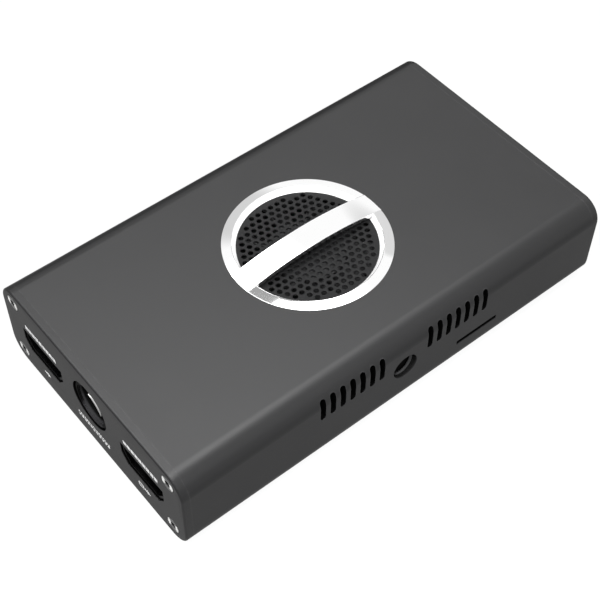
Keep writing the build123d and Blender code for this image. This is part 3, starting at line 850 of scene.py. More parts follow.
@dataclass(frozen=True)
class MilledMetal(Finish):
    """Sawn and milled aluminium with parallel tool marks."""

    metallic: float = 1.0
    edge_amount: float = 0.4
    mark_size: float = 0.25
    mark_depth: float = 0.01
    mark_gloss: float = 0.2
    mark_stretch: Triple = (1.0, 0.05, 1.0)

    def paint(self, shader: Shader) -> None:
        """Fills in the surface.

        Args:
            shader: the material in the making.
        """
        patches = self.patches(shader)
        marks = shader.grain(self.mark_size, self.mark_stretch)
        shader.set(
            Base_Color=self.worn_tone(shader, patches),
            Roughness=self.roughness + marks.swing(self.mark_gloss),
        )
        shader.bump(marks, self.mark_depth, strength=0.7)


@dataclass(frozen=True)
class MilkyPlastic(Finish):
    """Clear or milky plastic that lets light through."""

    transmission: float = 0.45
    grain_size: float = 0.4
    grain_depth: float = 0.004

    def paint(self, shader: Shader) -> None:
        """Fills in the surface.

        Args:
            shader: the material in the making.
        """
        patches = self.patches(shader)
        shader.set(
            Base_Color=self.tone(shader, patches),
            Roughness=self.roughness + patches.swing(self.gloss_swing),
            Transmission_Weight=self.transmission,
        )
        shader.bump(shader.noise(self.grain_size), self.grain_depth, strength=0.5)


@dataclass(frozen=True)
class Ink(Finish):
    """Screen-printed ink, a little thinner in places."""

    thin_size: float = 0.25
    thin_band: Point = (0.25, 0.5)
    thin_shade: float = 0.7
    thin_depth: float = 0.004

    def paint(self, shader: Shader) -> None:
        """Fills in the surface.

        Args:
            shader: the material in the making.
        """
        full = shader.noise(self.thin_size, detail=4.0, roughness=0.6).rise(*self.thin_band)
        thinned = shade(self.colour, self.thin_shade)
        shader.set(Base_Color=shader.mix(full, thinned, self.colour), Roughness=self.roughness)
        shader.bump(full, self.thin_depth, strength=0.4)


FINISHES: dict[Slot, Finish] = {
    Slot.CASE: SleeveMetal((0.008, 0.008, 0.0084), 0.34),
    Slot.PANEL: PanelMetal((0.008, 0.008, 0.0084), 0.35),
    Slot.SCREW: PlatedMetal((0.66, 0.66, 0.65)),
    Slot.BUSH: ThreadMetal((0.02, 0.02, 0.021), 0.4, edge_colour=(0.04, 0.04, 0.04)),
    Slot.POLISHED: SpunMetal((0.98, 0.98, 0.98), 0.03, 1.0, 0.01),
    Slot.GRILLE: Moulding((0.01, 0.01, 0.0104), 0.45, grain_size=0.15, specular=0.16),
    Slot.BOARD: SolderMask((0.012, 0.075, 0.035), 0.35),
    Slot.CHIP_LID: MilledMetal((0.62, 0.62, 0.62), 0.32),
    Slot.CHIP_BODY: Moulding((0.02, 0.02, 0.021), 0.55, grain_size=0.12),
    Slot.HEAT_PAD: Moulding((0.3, 0.42, 0.5), 0.7, grain_size=0.5),
    Slot.SINK: MilledMetal((0.72, 0.72, 0.73), 0.36),
    Slot.FAN: Moulding((0.035, 0.035, 0.036), 0.42, grain_size=0.25),
    Slot.COIL: Winding((0.55, 0.24, 0.1), 0.35, 0.7),
    Slot.MAGNET: MilledMetal((0.12, 0.12, 0.12), 0.5, 0.7),
    # Painted shade: the port metal darkened for the recessed front video shells.
    Slot.SHADED_PORT: PlatedMetal((0.012, 0.012, 0.0125), 0.34),
    Slot.PORT_METAL: PlatedMetal((0.68, 0.68, 0.67), 0.28),
    Slot.PORT_PLASTIC: Moulding((0.018, 0.018, 0.018), 0.42, grain_size=0.2),
    Slot.COLLAR: Moulding((0.004, 0.004, 0.004), 0.5, grain_depth=0.003, specular=0.05),
    Slot.CONTACT: PlatedMetal((0.86, 0.62, 0.27), 0.22),
    Slot.BUTTON: Moulding((0.05, 0.05, 0.05), 0.45),
    Slot.GUIDE: MilkyPlastic((0.82, 0.85, 0.84), 0.25),
    Slot.LED: MilkyPlastic((0.85, 0.84, 0.78), 0.3, transmission=0.1),
    Slot.CAN: PlatedMetal((0.78, 0.78, 0.8), 0.24),
    Slot.HEADER: Moulding((0.72, 0.69, 0.6), 0.45),
}
# Screw heads with painted shade in the recess and a painted highlight to two sides.
SCREW_HEADS_LIT_AND_SHADED = ScrewHead((0.3, 0.3, 0.3))
# The collar's plastic with painted light and shade.
SHADED_POWER_COLLAR = CollarPlastic((0.004, 0.004, 0.004), 0.5, specular=0.05)
PRINT = Ink((0.9, 0.9, 0.9), 0.6)


class Solid:
    """A mesh in the making. Its points are given in millimetres."""

    def __init__(self) -> None:
        """Starts with nothing."""
        self.mesh = bmesh.new()

    def point(self, x: float, y: float, z: float) -> bmesh.types.BMVert:
        """Adds one point."""
        return self.mesh.verts.new((x * MM, y * MM, z * MM))

    def skin(self, rows: Sequence[Sequence[bmesh.types.BMVert]], close_rows: bool = False,
             close_columns: bool = False) -> None:
        """Joins rows of points with four-sided faces.

        Args:
            rows: rows of equal length.
            close_rows: whether the last row joins the first.
            close_columns: whether each row's end joins its start.
        """
        count = len(rows)
        length = len(rows[0])
        for i in range(count if close_rows else count - 1):
            low, high = rows[i], rows[(i + 1) % count]
            for j in range(length if close_columns else length - 1):
                k = (j + 1) % length
                self.mesh.faces.new((low[j], low[k], high[k], high[j]))

    def loft(self, rows: Sequence[Sequence[bmesh.types.BMVert]]) -> "Solid":
        """Skins closed rows, and closes the first and the last with a face.

        Args:
            rows: rows of equal length, each one closed.

        Returns:
            The same solid, so that calls can follow each other.
        """
        self.skin(rows, close_columns=True)
        for row in (rows[0], rows[-1]):
            self.mesh.faces.new(row)
        return self

    def revolve(self, profile: Sequence[Point], steps: int,
                place: Callable[[float, float, float], Triple] | None = None) -> "Solid":
        """Turns a closed profile round an axis.

        Args:
            profile: points as (radius, height).
            steps: how many flats the turn has.
            place: turns (u, v, height) into x, y and z. Without it the axis is Z.

        Returns:
            The same solid, so that calls can follow each other.
        """
        rows = []
        for step in range(steps):
            angle = FULL_TURN * step / steps
            row = [(r * math.cos(angle), r * math.sin(angle), height) for r, height in profile]
            rows.append([self.point(*(place(*spot) if place else spot)) for spot in row])
        self.skin(rows, close_rows=True, close_columns=True)
        return self

    def prism(self, outline: Sequence[Point], place: Callable[[float, float, float], Triple],
              low: float, high: float) -> "Solid":
        """Pulls a flat outline into a thin solid.

        Args:
            outline: the outline's corners, in its own two axes.
            place: turns (u, v, w) into x, y and z.
            low: w of the first face.
            high: w of the second face.

        Returns:
            The same solid, so that calls can follow each other.
        """
        return self.loft([[self.point(*place(u, v, w)) for u, v in outline] for w in (low, high)])

    def make(self, name: str) -> Thing:
        """Closes the mesh and makes an object of it.

        Args:
            name: the object's name.

        Returns:
            The object, in the scene.
        """
        bmesh.ops.recalc_face_normals(self.mesh, faces=self.mesh.faces)
        data = bpy.data.meshes.new(name)
        self.mesh.to_mesh(data)
        self.mesh.free()
        thing = bpy.data.objects.new(name, data)
        bpy.context.scene.collection.objects.link(thing)
        return thing


def smooth(thing: Thing, angle: float = 32.0) -> Thing:
    """Shades an object smooth, apart from edges sharper than the angle in degrees.

    Args:
        thing: the object.
        angle: the angle between two faces, in degrees.

    Returns:
        The same object.
    """
    thing.data.shade_smooth()
    thing.data.set_sharp_from_angle(angle=math.radians(angle))
    return thing


def applied_mesh(thing: Thing) -> bpy.types.Mesh:
    """A new mesh with the object's modifiers applied."""
    depsgraph = bpy.context.evaluated_depsgraph_get()
    return bpy.data.meshes.new_from_object(thing.evaluated_get(depsgraph))


def rounded_edges(thing: Thing, width: float, steps: int = 2) -> Thing:
    """Rounds every sharp edge, and keeps the flats flat.

    Args:
        thing: the object.
        width: the width of the rounding, in millimetres.
        steps: how many faces cross it.

    Returns:
        The same object.
    """
    bevel = thing.modifiers.new("round", "BEVEL")
    bevel.width = width * MM
    bevel.segments = steps
    bevel.limit_method = "ANGLE"
    bevel.angle_limit = SHARP
    bevel.use_clamp_overlap = False
    bevel.miter_outer = "MITER_ARC"
    bevel.harden_normals = True
    return thing


class Workshop:
    """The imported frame, the finishes, and what every sub-assembly does with them."""

    def __init__(self) -> None:
        """Loads the frame and makes every finish."""
        self.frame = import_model()
        self.cad_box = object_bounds()
        self.slots: dict[str, str] = {}
        for entry in self.frame["record"]["subparts"]:
            self.slots[entry["node"]] = entry["material_slot"]
        self.materials = {slot.value: finish.build(slot.value) for slot, finish in FINISHES.items()}
        self.ink = PRINT.build("printed_marks")

    def dress(self, thing: Thing, material: bpy.types.Material) -> None:
        """Gives an object one material.

        Args:
            thing: the object.
            material: the material.
        """
        slots = thing.material_slots
        if not slots:
            thing.data.materials.append(material)
        for slot in slots:
            slot.material = material

    def dress_nodes(self) -> None:
        """Gives each CAD node the finish of its slot."""
        for name, thing in self.frame["nodes"].items():
            self.dress(thing, self.materials[self.slots[name]])

    def adopt(self, thing: Thing, body: Body, slot: Slot, nodes: Iterable[str] = (),
              material: bpy.types.Material | None = None) -> Thing:
        """Makes an object a piece of the part.

        Args:
            thing: the object.
            body: the body that it rides on.
            slot: the record's slot that it takes its finish from.
            nodes: the CAD nodes that it stands for.
            material: a finish in place of the slot's own.

        Returns:
            The same object.
        """
        self.dress(thing, material or self.materials[slot.value])
        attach(thing, body.value)
        if nodes:
            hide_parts(*nodes)
        log.info("piece %s on %s", thing.name, body.value)
        return thing

    def refine(self, node: str, width: float, body: Body = Body.CASE, steps: int = 2,
               share: Callable[[Vector], float] | None = None) -> Thing:
        """Stands a copy with rounded edges in a CAD node's place.

        Args:
            node: the node.
            width: the width of the rounding, in millimetres.
            body: the body that it rides on.
            steps: how many faces cross the rounding.
            share: how much of the width a sharp edge gets, from one of its ends.

        Returns:
            The copy.
        """
        source = self.frame["nodes"][node]
        data = source.data.copy()
        shape = bmesh.new()
        shape.from_mesh(data)
        bmesh.ops.remove_doubles(shape, verts=shape.verts, dist=SAME_POINT)
        bmesh.ops.dissolve_limit(shape, angle_limit=FLAT, verts=shape.verts, edges=shape.edges)
        if share:
            layer = shape.edges.layers.float.new("bevel_weight_edge")
            for edge in shape.edges:
                if edge.is_manifold and edge.calc_face_angle() > SHARP:
                    edge[layer] = min(share(end.co) for end in edge.verts)
        shape.to_mesh(data)
        shape.free()
        name = f"{node}_fine"
        data.name = name
        thing = bpy.data.objects.new(name, data)
        bpy.context.scene.collection.objects.link(thing)
        if "custom_normal" in data.attributes:
            data.attributes.remove(data.attributes["custom_normal"])
        smooth(thing)
        rounded_edges(thing, width, steps)
        if share:
            thing.modifiers["round"].limit_method = "WEIGHT"
        return self.adopt(thing, body, Slot(self.slots[node]), [node])


@dataclass
class Case:
    """The sleeve, the end panels and their screws.

    A face's corner takes the true skin's direction where it lies within skin_depth of the skin
    and the face matches it by least_match, or within skin_sag and by close_match. A match is a
    cosine.
    """

    shop: Workshop
    half_width: float = 34.15
    height: float = 24.3
    corner_radius: float = 5.4
    edge: float = 0.2
    other_edge: float = 0.08
    panel_rim: float = 0.4
    panel_steps: int = 4
    panel_edge: float = 0.1
    seam_edge: float = 0.02
    panel_face: float = 60.0
    screw_edge: float = 0.07
    skin_depth: float = 0.02
    skin_sag: float = 0.06
    sleeve_end: float = 57.9
    vent_side: float = 28.0
    vent_foot: float = 14.0
    vent_start: float = 5.0
    slot_side: float = 34.1
    end_edge: float = 0.02
    least_match: float = 0.9
    close_match: float = 0.97

    def skin_normal(self, point: Vector, slack: float) -> Vector | None:
        """The sleeve's true outward direction at a point of its outer skin.

        Args:
            point: the point, in metres.
            slack: how far off the true skin a point may be, in millimetres.

        Returns:
            The direction, or None away from the outer skin.
        """
        middle = self.height / 2
        y, z = point.y / MM, point.z / MM - middle
        side, top = self.half_width - self.corner_radius, middle - self.corner_radius
        core_y = max(-side, min(side, y))
        core_z = max(-top, min(top, z))
        away = Vector((0.0, y - core_y, z - core_z))
        if abs(away.length - self.corner_radius) > slack:
            return None
        return away.normalized()

    def true_skin(self, thing: Thing) -> None:
        """Applies a piece's modifiers and gives its outer skin exact normals.

        Args:
            thing: the piece.
        """
        data = applied_mesh(thing)
        limits = ((self.skin_depth, self.least_match), (self.skin_sag, self.close_match))
        thing.modifiers.clear()
        thing.data = data
        normals = [corner.vector.copy() for corner in data.corner_normals]
        for face in data.polygons:
            for index in face.loop_indices:
                place = data.vertices[data.loops[index].vertex_index].co
                for slack, match in limits:
                    true = self.skin_normal(place, slack)
                    if true and face.normal.dot(true) > match:
                        normals[index] = true
        data.normals_split_custom_set(normals)

    def panel_share(self, point: Vector) -> float:
        """How much of the panel rim's rounding an edge gets: all of it round the outer face.

        Args:
            point: one end of the edge, in metres.

        Returns:
            The share, from 0 to 1.
        """
        if self.skin_normal(point, self.skin_depth) is None:
            return self.panel_edge / self.panel_rim
        if abs(abs(point.x) / MM - self.panel_face) < self.skin_depth:
            return 1.0
        return self.seam_edge / self.panel_rim

    def sleeve_share(self, point: Vector) -> float:
        """How much of the sleeve's rounding an edge gets.

        The card slot gets all of it. The two ends get little, so that the seams stay fine.
        The vents get none, because their round tops lie across the sleeve's own rounding.

        Args:
            point: one end of the edge, in metres.

        Returns:
            The share, from 0 to 1.
        """
        x, y, z = (abs(value) / MM for value in point)
        if x > self.sleeve_end:
            return self.end_edge / self.edge
        if y > self.vent_side and z > self.vent_foot and x > self.vent_start:
            return 0.0
        on_slot = y > self.slot_side and z < self.vent_foot and x > self.vent_start
        return 1.0 if on_slot else self.other_edge / self.edge

    def build(self) -> None:
        """Makes all of its pieces."""
        self.true_skin(self.shop.refine("sleeve", self.edge, share=self.sleeve_share))
        for node in ("front_panel", "rear_panel"):
            self.shop.refine(node, self.panel_rim, steps=self.panel_steps, share=self.panel_share)
        heads = SCREW_HEADS_LIT_AND_SHADED.build("screw_heads_painted_light")
        for node in ("front_panel_screws", "rear_panel_screws"):
            self.shop.dress(self.shop.refine(node, self.screw_edge), heads)


@dataclass
class TripodThread:
    """The cut thread in the tripod hole, as one long helical ridge."""

    shop: Workshop
    height: float = 13.5
    wall_radius: float = 3.19
    crest_radius: float = 2.6
    pitch: float = 1.27
    start: float = -33.75
    end: float = -26.9
    crest_flat: float = 0.16
    foot: float = 1.05
    steps_per_turn: int = 48
    taper_turns: float = 0.4
    least_growth: float = 0.04
    phase: float = 0.4
    crease: float = 40.0

    def build(self) -> None:
        """Makes the ridge."""
        solid = Solid()
        turns = (self.end - self.start - self.foot) / self.pitch
        count = int(turns * self.steps_per_turn)
        rows = []
        for step in range(count + 1):
            turn = step / self.steps_per_turn
            grown = min(1.0, turn / self.taper_turns, (turns - turn) / self.taper_turns)
            depth = (self.wall_radius - self.crest_radius) * max(grown, self.least_growth)
            crest = self.wall_radius - depth
            middle = self.start + self.foot / 2 + turn * self.pitch
            half_foot, half_crest = self.foot / 2, self.crest_flat / 2
            section = (
                (self.wall_radius, middle - half_foot),
                (crest, middle - half_crest),
                (crest, middle + half_crest),
                (self.wall_radius, middle + half_foot),
            )
            angle = FULL_TURN * (turn + self.phase)
            across, up = math.cos(angle), math.sin(angle)
            rows.append([solid.point(r * across, y, self.height + r * up) for r, y in section])
        thing = solid.loft(rows).make("tripod_thread")
        self.shop.adopt(smooth(thing, self.crease), Body.CASE, Slot.BUSH)


@dataclass
class RingAndBar:
    """The polished ring and the arched bar that crosses it."""

    shop: Workshop
    base: float = 24.3
    outer_radius: float = 19.6
    band: float = 2.3
    height: float = 0.18
    arch: float = 1.96
    bar_arch: float = 2.38
    throat_radius: float = 16.3
    throat_top: float = 23.5
    spigot_inner: float = 17.3
    spigot_outer: float = 17.9
    spigot_end: float = 22.4
    edge: float = 0.14
    inner_edge: float = 0.1
    shoulder: tuple[Point, ...] = ((0.03, 0.01), (-0.02, 0.05))
    bar_width: float = 6.1
    bar_thickness: float = 1.1
    bar_edge: float = 0.14
    bar_flat: float = 1.5
    bar_inset: float = 0.01
    bar_lift: float = 0.02
    crease: float = 28.0
    turn_steps: int = 256
    bar_steps: int = 96
    arc_steps: int = 5
    face_steps: int = 8

    def dome(self, reach: float, arch: float | None = None) -> float:
        """The height of the domed face at a distance from the middle.

        Args:
            reach: the distance, in millimetres.
            arch: how far the dome rises over the rim, by default as the ring's face does.

        Returns:
            The height over the underside, in millimetres.
        """
        rise = arch or self.arch
        radius = (self.outer_radius ** 2 + rise ** 2) / (2 * rise)
        return self.base + self.height + rise - radius + math.sqrt(radius ** 2 - reach ** 2)

    def ring_profile(self) -> list[Point]:
        """The ring's closed section.

        Returns:
            Its points, as radius and height.
        """
        inner = self.outer_radius - self.band
        rim = self.outer_radius - self.edge
        profile = [(self.outer_radius, self.base)]
        for step in range(self.arc_steps):
            angle = math.pi / 2 * step / self.arc_steps
            lift = self.edge * (math.sin(angle) - 1)
            profile.append((rim + self.edge * math.cos(angle), self.dome(rim) + lift))
        for step in range(self.face_steps + 1):
            radius = rim + (inner + self.inner_edge - rim) * step / self.face_steps
            profile.append((radius, self.dome(radius)))
        profile += [(inner + out, self.dome(inner) - drop) for out, drop in self.shoulder]
        profile += [
            (self.throat_radius, self.throat_top),
            (self.spigot_inner, self.throat_top),
            (self.spigot_inner, self.spigot_end),
            (self.spigot_outer, self.spigot_end),
            (self.spigot_outer, self.base),
        ]
        return profile

    def bar_section(self) -> list[tuple[float, float | None]]:
        """The bar's closed section.

        Returns:
            Its points, as y and how far they lie below the top, or None on the underside.
        """
        half, edge = self.bar_width / 2, self.bar_edge
        right = []
        for step in range(self.arc_steps + 1):
            angle = math.pi / 2 * step / self.arc_steps
            right.append((half - edge + edge * math.cos(angle), edge - edge * math.sin(angle)))
        right.append((half - self.bar_flat * edge, 0.0))
        left = [(-y, drop) for y, drop in reversed(right)]
        return [(half, None), *right, *left, (-half, None)]

    def bar_blank(self) -> Thing:
        """The arched bar by itself, from one side of the ring to the other.

        Returns:
            The bar, to be joined to the ring.
        """
        bar = Solid()
        rows = []
        for step in range(self.bar_steps + 1):
            along = 2 * step / self.bar_steps - 1
            row = []
            for y, drop in self.bar_section():
                x = along * (math.sqrt(self.outer_radius ** 2 - y * y) - self.bar_inset)
                top = self.dome(x, self.bar_arch)
                low = max(top - self.bar_thickness, self.base + self.bar_lift)
                row.append(bar.point(x, y, low if drop is None else top - drop))
            rows.append(row)
        return bar.loft(rows).make("bar_blank")

    def build(self) -> None:
        """Makes the ring with its bar as one piece."""
        ring = Solid().revolve(self.ring_profile(), self.turn_steps).make("ring_and_bar")
        blank = self.bar_blank()
        union = ring.modifiers.new("join", "BOOLEAN")
        union.operation = "UNION"
        union.object = blank
        union.solver = "EXACT"
        joined = applied_mesh(ring)
        ring.modifiers.clear()
        ring.data = joined
        joined.name = ring.name
        bpy.data.objects.remove(blank)
        self.shop.adopt(smooth(ring, self.crease), Body.CASE, Slot.POLISHED, ["badge_ring"])


@dataclass
class Grille:
    """The perforated plate under the ring."""

    shop: Workshop
    edge: float = 0.12

    def build(self) -> None:
        """Makes the plate with rounded holes."""
        self.shop.refine("grille_mesh", self.edge)


@dataclass
class Cooling:
    """The fan and the heat sink below it."""

    shop: Workshop
    edge: float = 0.12

    def build(self) -> None:
        """Makes the visible pieces with rounded edges."""
        self.shop.refine("fan_frame", self.edge)
        self.shop.refine("fan_rotor", self.edge, Body.FAN)
        self.shop.refine("heat_sink", self.edge)


@dataclass
class FrontPorts:
    """The two video ports and the power port."""

    shop: Workshop
    shell_edge: float = 0.06
    body_edge: float = 0.09
    panel_x: float = -60.0
    power_y: float = 0.2
    power_z: float = 14.2
    collar_radius: float = 6.1
    collar_front: float = 0.4
    collar_bevel: float = 0.3
    collar_length: float = 7.9
    collar_crease: float = 30.0
    bore_radius: float = 4.92
    lip_radius: float = 5.2
    lip_foot: float = 0.6
    lip_curve: tuple[Point, ...] = ((0.0, 0.36), (0.04, 0.22), (0.1, 0.1), (0.18, 0.02))
    lip_crest: Point = (0.04, 0.03)
    spring_arc: Point = (97.0, 160.0)
    spring_end: float = 0.01
    spring_steps: int = 32
    spring_crease: float = 50.0
    turn_steps: int = 96

    def on_axis(self, u: float, v: float, depth: float) -> Triple:
        """A point by its offset from the power port's axis and its depth behind the panel's face."""
        return (self.panel_x + depth, self.power_y + u, self.power_z + v)

    def power_collar(self) -> None:
        """The dark collar, with a seat round its bore."""
        collar = [
            (self.collar_radius, self.collar_length),
            (self.collar_radius, self.collar_front + self.collar_bevel),
            (self.collar_radius - self.collar_bevel, self.collar_front),
            (self.lip_radius, self.collar_front),
            (self.lip_radius, self.lip_foot),
            (self.bore_radius, self.lip_foot),
            (self.bore_radius, self.collar_length),
        ]
        ring = Solid().revolve(collar, self.turn_steps, self.on_axis).make("power_collar")
        smooth(ring, self.collar_crease)
        plastic = SHADED_POWER_COLLAR.build("power_collar")
        self.shop.adopt(ring, Body.CASE, Slot.COLLAR, ["power_barrel"], plastic)

    def power_spring(self) -> None:
        """The bright sprung contact on a part of the collar's seat, thinner towards its two ends."""
        lip = [
            (self.lip_radius, self.lip_foot),
            *((self.lip_radius - inset, depth) for inset, depth in self.lip_curve),
            (self.bore_radius + self.lip_crest[0], 0.0),
            (self.bore_radius, self.lip_crest[1]),
            (self.bore_radius, self.lip_foot),
        ]
        start, end = self.spring_arc
        solid = Solid()
        rows = []
        for step in range(self.spring_steps + 1):
            share = step / self.spring_steps
            angle = math.radians(start + (end - start) * share)
            swell = math.sqrt(math.sin(math.pi * min(max(share, self.spring_end), 1 - self.spring_end)))
            row = []
            for radius, depth in lip:
                r = self.lip_radius - (self.lip_radius - radius) * swell
                row.append(solid.point(*self.on_axis(r * math.cos(angle), r * math.sin(angle), depth)))
            rows.append(row)
        thing = solid.loft(rows).make("power_spring")
        self.shop.adopt(smooth(thing, self.spring_crease), Body.CASE, Slot.PORT_METAL)

    def build(self) -> None:
        """Makes the visible pieces with rounded edges."""
        for side in ("in", "out"):
            self.shop.refine(f"video_{side}_shell", self.shell_edge)
            self.shop.refine(f"video_{side}_insulator", self.body_edge)
        self.shop.refine("power_body", self.body_edge)
        self.power_collar()
        self.power_spring()


@dataclass
class RearPorts:
    """The network and data ports, the reset button and the light guides."""

    shop: Workshop
    metal_edge: float = 0.05
    plastic_edge: float = 0.09

    def build(self) -> None:
        """Makes the visible pieces with rounded edges."""
        for node in ("network_shield", "data_shell"):
            self.shop.refine(node, self.metal_edge)
        for node in ("network_housing", "data_tongue", "light_guides"):
            self.shop.refine(node, self.plastic_edge)
        self.shop.refine("reset_button", self.plastic_edge, Body.RESET)


@dataclass
class PrintedMarks:
    """Plain printed marks on the two end panels. A panel's own axes are u to the right and v up."""

    shop: Workshop
    panel_x: float = 60.0
    ink_depth: float = 0.012
    sink_depth: float = 0.02
    video_y: float = 19.15
    stripe_v: float = 16.4
    stripe_width: float = 12.6
    stripe_height: float = 1.25
    stripe_dashes: int = 9
    stripe_gap: float = 0.22
    label_v: float = 5.2
    in_arrow: Spot = (0.2, 0.0, 2.5, 1.5)
    out_box: Spot = (-1.2, 0.2, 1.8, 1.4)
    out_arrow: Spot = (1.1, 0.2, 2.3, 1.5)
    power_u: float = -0.1
    power_width: float = 12.4
    power_ticks: tuple[int, ...] = (16, 11)
    tick_lift: float = 0.45
    tick_drop: float = 0.9
    tick_share: float = 0.68
    tick_height: float = 0.62
    rear_v: float = 5.4
    network_u: float = 14.0
    network_boxes: tuple[Point, ...] = ((-1.0, 4.7), (1.0, 4.7), (0.0, 6.1))
    network_box: Point = (1.1, 0.9)
    network_line: Point = (2.2, 0.2)
    data_u: float = -4.5
    data_arrow: Point = (2.6, 1.2)
    reset_u: float = -13.5
    reset_dot: float = 0.42
    lights: int = 3
    lights_u: float = -19.5
    lights_pitch: float = 3.0
    light_tick: Point = (0.25, 1.3)
    light_tick_pitch: float = 0.5
    line: float = 0.34
    corner_gap: float = 0.01
    arrow_head: float = 0.8
    arrow_shaft: float = 1.7
    shapes: list[list[Point]] = field(default_factory=list)

    def rectangle(self, u: float, v: float, width: float, height: float) -> None:
        """Adds a filled rectangle.

        Args:
            u: its middle's u.
            v: its middle's v.
            width: its size along u.
            height: its size along v.
        """
        half_u, half_v = width / 2, height / 2
        corners = ((-half_u, -half_v), (half_u, -half_v), (half_u, half_v), (-half_u, half_v))
        self.shapes.append([(u + du, v + dv) for du, dv in corners])

    def frame(self, u: float, v: float, width: float, height: float) -> None:
        """Adds the four sides of a rectangle.

        Args:
            u: its middle's u.
            v: its middle's v.
            width: its size along u.
            height: its size along v.
        """
        upright = height - 2 * self.line - self.corner_gap
        for side in (-1, 1):
            self.rectangle(u, v + side * (height - self.line) / 2, width, self.line)
            self.rectangle(u + side * (width - self.line) / 2, v, self.line, upright)

    def arrow(self, u: float, v: float, length: float, height: float, sense: int = 1) -> None:
        """Adds an arrow along u.

        Args:
            u: its middle's u.
            v: its middle's v.
            length: its size along u.
            height: the height of its head.
            sense: 1 where it points to +u and -1 where it points to -u.
        """
        head = height * self.arrow_head
        self.rectangle(u - sense * head / 2, v, length - head, self.line * self.arrow_shaft)
        tip = u + sense * length / 2
        back = tip - sense * head
        self.shapes.append([(tip, v), (back, v + height / 2), (back, v - height / 2)])

    def disc(self, u: float, v: float, radius: float, steps: int = 24) -> None:
        """Adds a filled dot."""
        angles = [FULL_TURN * step / steps for step in range(steps)]
        self.shapes.append([(u + radius * math.cos(a), v + radius * math.sin(a)) for a in angles])

    def row(self, u: float, v: float, count: int, pitch: float, size: Point) -> None:
        """Adds a row of equal rectangles.

        Args:
            u: the middle of the row.
            v: its height on the panel.
            count: how many there are.
            pitch: from the middle of one to the next.
            size: the width and height of each.
        """
        for index in range(count):
            self.rectangle(u + (index + 0.5 - count / 2) * pitch, v, *size)

    def front(self) -> None:
        """Marks of the port panel. Seen from outside, u is -y."""
        dash = self.stripe_width / self.stripe_dashes
        size = (dash - self.stripe_gap, self.stripe_height)
        for side in (-1, 1):
            self.row(side * self.video_y, self.stripe_v, self.stripe_dashes, dash, size)
        marks = (
            (self.arrow, -1, self.in_arrow),
            (self.frame, 1, self.out_box),
            (self.arrow, 1, self.out_arrow),
        )
        for draw, side, (u, v, width, height) in marks:
            draw(side * self.video_y + u, self.label_v + v, width, height)
        for line, count in enumerate(self.power_ticks):
            pitch = self.power_width / count
            v = self.label_v + self.tick_lift - self.tick_drop * line
            self.row(self.power_u, v, count, pitch, (self.tick_share * pitch, self.tick_height))

    def rear(self) -> None:
        """Marks of the rear panel. Seen from outside, u is +y."""
        for offset, v in self.network_boxes:
            self.frame(self.network_u + offset, v, *self.network_box)
        self.rectangle(self.network_u, self.rear_v, *self.network_line)
        self.arrow(self.data_u, self.rear_v, *self.data_arrow, sense=-1)
        self.disc(self.reset_u, self.rear_v, self.reset_dot)
        for index in range(self.lights):
            u = self.lights_u - self.lights_pitch * index
            self.row(u, self.rear_v, index + 1, self.light_tick_pitch, self.light_tick)

    def stamp(self, name: str, side: int) -> None:
        """Makes one object of the collected marks.

        Args:
            name: the piece's name.
            side: -1 for the port panel and 1 for the rear panel.
        """
        def place(u: float, v: float, w: float) -> Triple:
            """Turns panel axes into x, y and z."""
            return (side * (self.panel_x + w), side * u, v)

        solid = Solid()
        for shape in self.shapes:
            solid.prism(shape, place, -self.sink_depth, self.ink_depth)
        self.shop.adopt(solid.make(name), Body.CASE, Slot.PANEL, material=self.shop.ink)
        self.shapes.clear()

    def build(self) -> None:
        """Prints both panels."""
        self.front()
        self.stamp("front_marks", -1)
        self.rear()
        self.stamp("rear_marks", 1)


@dataclass(frozen=True)
class SkyPatch:
    """A round patch of the sky that only shiny surfaces mirror, all in degrees but its level."""

    azimuth: float
    elevation: float
    radius: float
    blur: float
    level: float

    def inside(self, tree: Tree, direction: Socket) -> Value:
        """How far a direction lies inside the patch.

        Args:
            tree: the world's tree.
            direction: the direction's socket.

        Returns:
            1 inside and 0 outside.
        """
        azimuth, elevation = math.radians(self.azimuth), math.radians(self.elevation)
        middle = (
            math.cos(azimuth) * math.cos(elevation),
            math.sin(azimuth) * math.cos(elevation),
            math.sin(elevation),
        )
        inputs = {0: direction, 1: middle}
        dot = tree.node("ShaderNodeVectorMath", {"operation": "DOT_PRODUCT"}, inputs)
        outer, inner = (math.cos(math.radians(self.radius + side * self.blur)) for side in (1, -1))
        return Value(tree, dot.outputs["Value"]).rise(outer, inner)


@dataclass(frozen=True)
class Lamp:
    """A soft square lamp that faces the part, in metres and watts."""

    name: str
    place: Triple
    size: float
    power: float

    def add(self, target: Triple) -> None:
        """Puts the lamp in the scene. Shiny surfaces don't mirror it.

        Args:
            target: what it faces, in metres.
        """
        data = bpy.data.lights.new(self.name, "AREA")
        data.size = self.size
        data.energy = self.power
        lamp = bpy.data.objects.new(self.name, data)
        lamp.location = self.place
        facing = Vector(target) - Vector(self.place)
        lamp.rotation_euler = facing.to_track_quat("-Z", "Y").to_euler()
        lamp.visible_camera = False
        lamp.visible_glossy = False
        bpy.context.scene.collection.objects.link(lamp)


